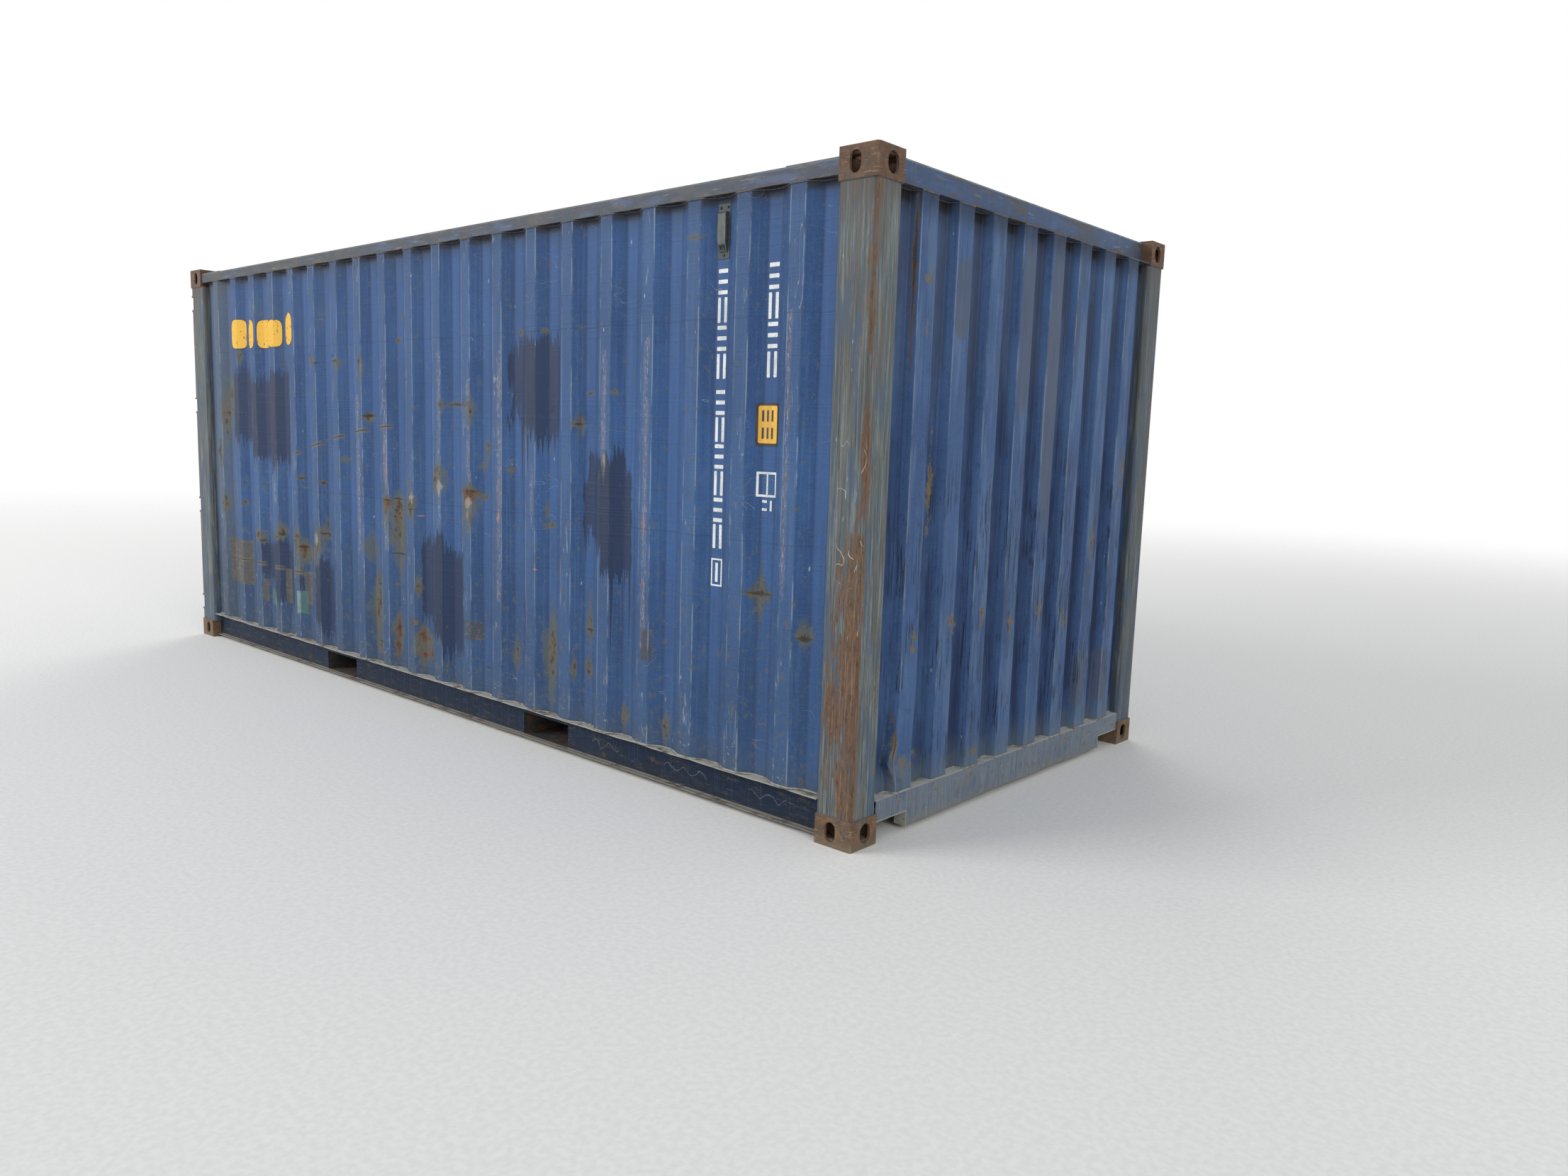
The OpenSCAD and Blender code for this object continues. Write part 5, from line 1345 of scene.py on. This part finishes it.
def rippled(piece, texture_name, size, strength, direction, group="", mid=0.5):
    """Moves the piece's surface in or out by a cloud pattern of this size."""
    texture = bpy.data.textures.new(texture_name, "CLOUDS")
    texture.noise_scale = size
    texture.noise_depth = 1
    return with_modifier(piece, "DISPLACE", texture=texture, texture_coords="LOCAL", strength=strength,
                         direction=direction, vertex_group=group, mid_level=mid)


def seam(sheet, name, level, radius, paint, body_shift):
    """The bead along the sheet's foot or top, made of the sheet's own outline at that level."""
    pick(sheet, "edges", lambda e: all(abs(v.co.z - level) < 1e-4 for v in e.verts))
    bpy.ops.mesh.duplicate()
    bpy.ops.mesh.separate(type="SELECTED")
    close(sheet)
    line = next(o for o in bpy.context.selected_objects if o is not sheet)
    alone(line)
    bpy.ops.object.convert(target="CURVE")
    line = bpy.context.object
    line.data.dimensions = "3D"
    line.data.bevel_depth = radius
    line.data.bevel_resolution = 1
    line.location = body_shift
    bpy.ops.object.convert(target="MESH")
    return settle(bpy.context.object, name, paint, angle=60)


# ---------------------------------------------------------------- finishes

castings = cast_coat("rusty_cast_steel")
posts = post_coat("worn_post_coat")
top_rails = top_rail_coat("top_rail_coat")
bottom_rails = bottom_rail_coat("bottom_rail_coat")
sill = sill_coat("front_sill_coat")
roof_blue = roof_coat("faded_roof_coat")
underside = underframe_coat("bitumen_coat")
boards = plywood("worn_plywood")
doors = door_coat("door_coat")
rubber = seal_rubber("seal_rubber")
forgings = hinge_coat("hinge_coat")
rods = zinc("rod_zinc", 3.0, 0.02)
gear = zinc("gear_zinc", 13.0, 0.06)
hoods = vent_plastic("ventilator_moulding")
welds = weld_coat("weld_and_sealant")
white_marks = mark_paint("white_stencil", (226, 228, 226), (196, 200, 200), (92, 110, 140), 0.37)
yellow_film = mark_paint("yellow_film", (238, 184, 62), (214, 164, 62), (120, 110, 84), 0.33)
black_film = mark_paint("black_film", (26, 26, 28), (46, 46, 46), (92, 96, 100), 0.34)

right_coat = wall_coat("right_wall_coat", -1)
left_coat = wall_coat("left_wall_coat", 1)
front_coat = end_coat("front_wall_coat")

# ---------------------------------------------------------------- walls

wall_sheets = {}
for side, sign, coat in (("right", -1, right_coat), ("left", 1, left_coat)):
    sheet = corrugated(side + "_wall_sheet", SIDE_FIRST_CREST, SIDE_CRESTS, SIDE_PITCH, SIDE_CREST,
                       SIDE_SLOPE, SIDE_CREST_Y - SIDE_TROUGH_Y, SIDE_ENDS, SIDE_FOOT, SIDE_TOP, sign)
    form_sheet(sheet, 0.0055, 84 if side == "right" else 40, sign)
    sheet.location.y = sign * SIDE_TROUGH_Y
    alone(sheet)
    bpy.ops.object.transform_apply(location=True, rotation=False, scale=False)
    wall_sheets[side] = sheet

sheet = corrugated("front_wall_sheet", -3.5 * END_PITCH, END_CRESTS, END_PITCH, END_CREST, END_SLOPE,
                   END_CREST_X - END_TROUGH_X, (-END_HALF, END_HALF), END_FOOT, END_TOP, -1)
form_sheet(sheet, 0.0045, 70, -1)
sheet.rotation_euler = (0, 0, math.pi / 2)
sheet.location.x = END_TROUGH_X
alone(sheet)
bpy.ops.object.transform_apply(location=True, rotation=True, scale=False)
wall_sheets["front"] = sheet

RIGHT_DENTS = (
    ((-1.17, -1.209, 0.82), (0.0, 0.010, 0.0), 0.16),
    ((-1.46, -1.209, 0.74), (0.0, 0.008, 0.0), 0.18),
    ((0.48, -1.190, 1.20), (0.004, 0.010, 0.0), 0.14),
    ((-0.40, -1.209, 1.12), (0.0, 0.009, 0.0), 0.15),
    ((1.38, -1.209, 1.58), (0.0, 0.005, 0.0), 0.12),
    ((2.375, -1.209, 1.00), (0.0, 0.004, 0.0), 0.22),
    ((-2.07, -1.209, 0.62), (0.0, 0.007, 0.0), 0.20),
    ((0.984, -1.209, 0.55), (0.0, 0.005, 0.0), 0.25),
)
FRONT_DENTS = (
    ((3.020, -0.931, 0.36), (0.0, -0.020, 0.0), 0.20),
    ((3.020, -0.951, 0.29), (0.0, -0.036, 0.0), 0.10, "SHARP"),
    ((3.023, -0.900, 0.30), (-0.018, 0.0, 0.0), 0.10),
    ((3.023, 0.376, 0.85), (-0.006, 0.0, 0.0), 0.18),
    ((3.023, -0.376, 1.30), (-0.005, 0.0, 0.0), 0.20),
    ((3.023, 0.627, 0.60), (-0.006, 0.0, 0.0), 0.16),
)
LEFT_DENTS = (
    ((0.70, 1.209, 0.90), (0.0, -0.008, 0.0), 0.18),
    ((-1.52, 1.209, 1.30), (0.0, -0.006, 0.0), 0.15),
    ((2.10, 1.209, 0.60), (0.0, -0.007, 0.0), 0.20),
)

for side, dents, axis, coat in (
    ("right", RIGHT_DENTS, "Y", right_coat),
    ("left", LEFT_DENTS, "Y", left_coat),
    ("front", FRONT_DENTS, "X", front_coat),
):
    sheet = wall_sheets[side]
    rippled(sheet, side + "_wall_ripple", 0.45, 0.0030, axis)
    rippled(sheet, side + "_wall_twist", 0.60, 0.0030, "X" if axis == "Y" else "Y")
    for knock in dents:
        dent(sheet, *knock)
    out = {"right": (0, -0.0015, 0), "left": (0, 0.0015, 0), "front": (0.0005, 0, 0)}[side]
    foot = END_FOOT if side == "front" else SIDE_FOOT
    top = END_TOP if side == "front" else SIDE_TOP
    out = Vector(out)
    seam(sheet, side + "_wall_foot_bead", foot, FOOT_BEAD, welds, out + Vector((0, 0, 0.0030)))
    seam(sheet, side + "_wall_top_bead", top, TOP_BEAD, welds, out - Vector((0, 0, 0.0025)))
    with_modifier(sheet, "SOLIDIFY", thickness=SHEET, offset=-1)
    settle(sheet, side + "_wall_sheet", coat, angle=40, flat=True)
    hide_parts(side + "_wall")

# ---------------------------------------------------------------- castings, posts, rails

for end in ("front", "rear"):
    for side in ("right", "left"):
        for level in ("bottom", "top"):
            broken_edges(f"casting_{end}_{side}_{level}", castings, 0.007, segments=3)
        broken_edges(f"{end}_post_{side}", posts, ARRIS, angle=50)

for node in ("top_side_rail_right", "top_side_rail_left"):
    broken_edges(node, top_rails, 0.005, segments=3)
for node in ("front_top_rail", "rear_header"):
    broken_edges(node, top_rails, ARRIS, angle=50)


def bashed_rail(node, paint, cuts, along, edges):
    """A bottom rail or sill, cut across at equal steps, with its edges and faces knocked wavy. Edges are
    (name, test for its verts, size of the waves, strength, direction, level that stays in place)."""
    piece = copy_of(node, node + "_bashed")
    low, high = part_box(node)
    span = high[along] - low[along]
    for step in range(1, cuts):
        cut_through(piece, along, low[along] + span * step / cuts)
        close(piece)
    for name, test, size, strength, direction, mid in edges:
        group = piece.vertex_groups.new(name=name)
        group.add([v.index for v in piece.data.vertices if test(v.co)], 1.0, "REPLACE")
        rippled(piece, node + "_" + name, size, strength, direction, group=name, mid=mid)
    with_modifier(piece, "BEVEL", width=ARRIS, segments=2, limit_method="ANGLE",
                  angle_limit=math.radians(50))
    settle(piece, node + "_bashed", paint, flat=True)
    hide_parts(node)
    return piece


for side, sign in (("right", -1), ("left", 1)):
    bashed_rail(
        "bottom_side_rail_" + side, bottom_rails, 96, 0,
        (
            ("flange", lambda c, s=sign: c.z > 0.165 and c.y * s > 1.195, 0.11, 0.006, "Z", 0.9),
            ("foot", lambda c, s=sign: c.z < 0.03 and c.y * s > 1.18, 0.20, 0.008, "Z", 0.3),
            ("web", lambda c: 0.02 < c.z < 0.16, 0.5, 0.003, "Y", 0.5),
        ),
    )
bashed_rail(
    "front_sill", sill, 48, 1,
    (
        ("lower_edge", lambda c: c.z < 0.03 and c.x > 2.98, 0.22, 0.012, "Z", 0.35),
        ("face", lambda c: c.x > 3.015 and c.z < 0.16, 0.35, 0.005, "X", 0.95),
    ),
)
broken_edges("door_sill", bottom_rails, ARRIS, angle=50)

# ---------------------------------------------------------------- welds between the posts and castings

for end, to_x in (("front", 1), ("rear", -1)):
    for side, to_y in (("right", -1), ("left", 1)):
        for level, height in (("bottom", 0.118), ("top", 2.473)):
            path = [(to_x * 2.853, to_y * 1.2145, height)]
            for step in range(7):
                turn = math.pi / 2 * step / 6
                along = 3.0025 + 0.022 * math.sin(turn)
                across = 1.1925 + 0.022 * math.cos(turn)
                path.append((to_x * along, to_y * across, height))
            path.append((to_x * 3.0245, to_y * 1.062, height))
            bead(f"post_weld_{end}_{side}_{level}", path, POST_BEAD, welds, "post")

# ---------------------------------------------------------------- what keeps its CAD shape

for node, paint in (
    ("roof", roof_blue),
    ("floor_boards", boards),
    ("cross_members", underside),
    ("fork_pocket_front", underside),
    ("fork_pocket_rear", underside),
    ("door_panel_right", doors),
    ("door_panel_left", doors),
):
    paint.on(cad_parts[node])

# ---------------------------------------------------------------- what only has its edges broken

for pattern, slot, paint, width in (
    ("door_frame_{}", "door", doors, 0.004),
    ("door_seal_{}", "seal", rubber, 0.003),
    ("hinges_{}", "hinge", forgings, 0.002),
    ("lock_rod_{}_outer", "lock_rod", rods, ARRIS),
    ("lock_rod_{}_inner", "lock_rod", rods, ARRIS),
    ("rod_brackets_{}", "lock_gear", gear, ARRIS),
    ("ventilator_{}", "ventilator", hoods, 0.0010),
):
    for side in ("right", "left"):
        broken_edges(pattern.format(side), paint, width, angle=40)
broken_edges("cam_keepers", gear, 0.0015, angle=40)

# ---------------------------------------------------------------- ventilator screws


def screw_master():
    """A small pan head with a rounded rim and a sunk cross recess, facing -Y, at the origin."""
    bpy.ops.mesh.primitive_cylinder_add(vertices=16, radius=0.0052, depth=0.0034, location=(0, -0.0017, 0),
                                        rotation=(math.pi / 2, 0, 0))
    head = bpy.context.object
    alone(head)
    bpy.ops.object.transform_apply(location=True, rotation=True, scale=True)
    pick(head, "faces", lambda f: f.normal.y < -0.9)
    bpy.ops.mesh.inset(thickness=0.0014, depth=0.0010)
    bpy.ops.mesh.inset(thickness=0.0018, depth=-0.0012)
    close(head)
    return with_modifier(head, "BEVEL", width=0.0004, segments=2, limit_method="ANGLE")


screw = screw_master()
for side, sign, centre in (("right", -1, 2.236), ("left", 1, -2.212)):
    low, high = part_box("ventilator_" + side)
    plate_y = sign * (SIDE_TROUGH_Y + 0.0033)
    for number, (across, level) in enumerate((
        (-0.020, high.z - 0.014), (0.020, high.z - 0.014), (0.0, low.z + 0.014),
    )):
        head = screw.copy()
        head.data = screw.data.copy()
        bpy.context.scene.collection.objects.link(head)
        if sign > 0:
            head.rotation_euler = (0, 0, math.pi)
        head.location = (centre + across, plate_y, level)
        settle(head, f"ventilator_{side}_screw_{number}", hoods)
bpy.data.objects.remove(screw)

# ---------------------------------------------------------------- markings on the right wall


def flat_mark(width, height, at, hollow=0.0, corner=0.0):
    """A thin painted shape on the right wall: a panel with rounded corners, or only its border."""
    mark = upright_plane(width, height, (at[0], -SIDE_CREST_Y - 0.02, at[1]))
    if corner:
        pick(mark, "verts", lambda v: True)
        bpy.ops.mesh.bevel(offset=corner, segments=4, affect="VERTICES")
    if hollow:
        pick(mark, "faces", lambda f: True)
        bpy.ops.mesh.inset(thickness=hollow)
        bpy.ops.mesh.delete(type="FACE")
    close(mark)
    return mark


def lay_on_wall(mark, name, paint, lift):
    """Cuts a mark into small pieces, presses it on to the wall's surface from outside and settles it."""
    for axis, step in ((0, 0.007), (2, 0.016)):
        low = min(v.co[axis] for v in mark.data.vertices)
        high = max(v.co[axis] for v in mark.data.vertices)
        for count in range(1, math.ceil((high - low) / step)):
            cut_through(mark, axis, low + count * step)
    close(mark)
    with_modifier(mark, "SHRINKWRAP", target=wall_sheets["right"], wrap_method="PROJECT",
                  use_project_y=True, use_negative_direction=False, use_positive_direction=True,
                  offset=lift)
    settle(mark, name, paint)


def join(pieces, name):
    """Makes one piece of several."""
    bpy.ops.object.select_all(action="DESELECT")
    for piece in pieces:
        piece.select_set(True)
    bpy.context.view_layer.objects.active = pieces[0]
    if len(pieces) > 1:
        bpy.ops.object.join()
    piece = bpy.context.object
    piece.name = name
    return piece


def bar_column(name, x, top, cells, pitch, height, width, stroke):
    """A column of stencilled cells, by turns three short bars across and two upright strokes. They mean
    nothing."""
    bars = []
    for cell in range(cells):
        ceiling = top - cell * pitch
        if cell % 2 == 0:
            for row in range(3):
                level = ceiling - stroke / 2 - row * (height - stroke) / 2
                bars.append(flat_mark(width, stroke, (x, level), corner=stroke * 0.2))
        else:
            for offset in (-1, 1):
                across = x + offset * (width - stroke) / 2
                at = (across, ceiling - height / 2)
                bars.append(flat_mark(stroke, height, at, corner=stroke * 0.2))
    return join(bars, name)


marks = [
    bar_column("marks_a", TYPE_COLUMN_X, 2.218, 4, 0.1117, 0.100, 0.052, 0.016),
    bar_column("marks_b", TYPE_COLUMN_X, 1.738, 6, 0.1096, 0.100, 0.052, 0.016),
    flat_mark(0.062, 0.116, (TYPE_COLUMN_X, 0.990), hollow=0.007),
    flat_mark(0.015, 0.080, (TYPE_COLUMN_X, 0.990), corner=0.002),
    bar_column("marks_c", SIZE_COLUMN_X, 2.222, 4, 0.1123, 0.100, 0.052, 0.016),
    flat_mark(0.100, 0.099, (SIZE_COLUMN_X - 0.006, 1.3675), hollow=0.009),
    flat_mark(0.009, 0.088, (SIZE_COLUMN_X - 0.006, 1.3675)),
    flat_mark(0.026, 0.010, (SIZE_COLUMN_X - 0.018, 1.300), corner=0.002),
    flat_mark(0.026, 0.010, (SIZE_COLUMN_X - 0.018, 1.268), corner=0.002),
    flat_mark(0.010, 0.042, (SIZE_COLUMN_X + 0.016, 1.284), corner=0.002),
]
lay_on_wall(join(marks, "white_marks"), "white_marks", white_marks, FILM)
yellow = flat_mark(0.092, 0.147, (PANEL_X, PANEL_Z), corner=0.008)
lay_on_wall(yellow, "yellow_panel", yellow_film, 2 * FILM)
border = flat_mark(0.114, 0.170, (PANEL_X, PANEL_Z), corner=0.013)
lay_on_wall(border, "yellow_panel_border", black_film, FILM)
bars = []
for row in (0.034, -0.034):
    for column in (-0.028, -0.004, 0.020):
        bars.append(flat_mark(0.009, 0.044, (PANEL_X + column, PANEL_Z + row), corner=0.002))
lay_on_wall(join(bars, "panel_bars"), "panel_bars", black_film, 3 * FILM)

# ---------------------------------------------------------------- floor, light and camera


def floor_paint():
    """A pale floor that fades into the white round it, and keeps the shadow near the container."""
    paint = Paint("pale_floor", Roughness=0.9)
    speck = paint.noise(0.02, detail=3)
    paint.prime(speck.ease(0.3, 0.7), (228, 227, 224), (236, 235, 232))
    paint.feed("Base Color", paint.coat)
    away = paint.math("SQRT", paint.x * paint.x + paint.y * paint.y)
    fade = away.ease(7.0, 22.0)
    clear = paint.node("BsdfTransparent")
    shown = paint.node("MixShader", {}, {0: fade, 1: Wire(paint, paint.shader.outputs[0]), 2: clear})
    output = paint.tree.nodes["Material Output"]
    paint.tree.links.new(shown.socket, output.inputs["Surface"])
    return paint


bpy.ops.mesh.primitive_plane_add(size=60, location=(0, 0, -0.0004))
ground = bpy.context.object
ground.name = "floor"
floor_paint().on(ground)

world = bpy.data.worlds.new("studio")
bpy.context.scene.world = world
world.use_nodes = True
nodes = world.node_tree.nodes
links = world.node_tree.links
lit = nodes["Background"]
lit.inputs["Color"].default_value = (0.93, 0.96, 1.0, 1.0)
lit.inputs["Strength"].default_value = 0.52
seen = nodes.new("ShaderNodeBackground")
seen.inputs["Color"].default_value = (1.0, 1.0, 1.0, 1.0)
seen.inputs["Strength"].default_value = 1.0
rays = nodes.new("ShaderNodeLightPath")
white_for = rays.outputs["Is Camera Ray"]
for kind in ("Is Glossy Ray", "Is Transmission Ray"):
    either = nodes.new("ShaderNodeMath")
    either.operation = "MAXIMUM"
    links.new(white_for, either.inputs[0])
    links.new(rays.outputs[kind], either.inputs[1])
    white_for = either.outputs[0]
blend = nodes.new("ShaderNodeMixShader")
links.new(white_for, blend.inputs[0])
links.new(lit.outputs[0], blend.inputs[1])
links.new(seen.outputs[0], blend.inputs[2])
links.new(blend.outputs[0], nodes["World Output"].inputs["Surface"])


def soft_lamp(name, width, depth, energy, place):
    """A large soft lamp that faces the container."""
    data = bpy.data.lights.new(name, "AREA")
    data.shape = "RECTANGLE"
    data.size = width
    data.size_y = depth
    data.energy = energy
    lamp = bpy.data.objects.new(name, data)
    bpy.context.scene.collection.objects.link(lamp)
    lamp.location = place
    lamp.rotation_euler = (Vector((0, 0, 1.2)) - lamp.location).to_track_quat("-Z", "Y").to_euler()


soft_lamp("soft_sky", 14, 10, 3500, (-13.0, -18.5, 11.5))
soft_lamp("soft_fill", 14, 10, 1500, (-14.0, 17.0, 11.0))
soft_lamp("soft_end", 12, 10, 1500, (20.0, -8.0, 10.0))

YAW, PITCH, ROLL = (math.radians(angle) for angle in (131.42, -7.59, 1.84))
camera_data = bpy.data.cameras.new("camera")
camera_data.sensor_fit = "HORIZONTAL"
camera_data.sensor_width = 36
camera_data.lens = 25.48
camera = bpy.data.objects.new("camera", camera_data)
bpy.context.scene.collection.objects.link(camera)
look = Vector((math.cos(YAW) * math.cos(PITCH), math.sin(YAW) * math.cos(PITCH), math.sin(PITCH)))
turn = look.to_track_quat("-Z", "Y").to_matrix().to_4x4() @ Matrix.Rotation(ROLL, 4, "Z")
camera.matrix_world = Matrix.Translation((5.4836, -4.4262, 1.5445)) @ turn
bpy.context.scene.camera = camera

bpy.context.scene.view_settings.view_transform = "Standard"
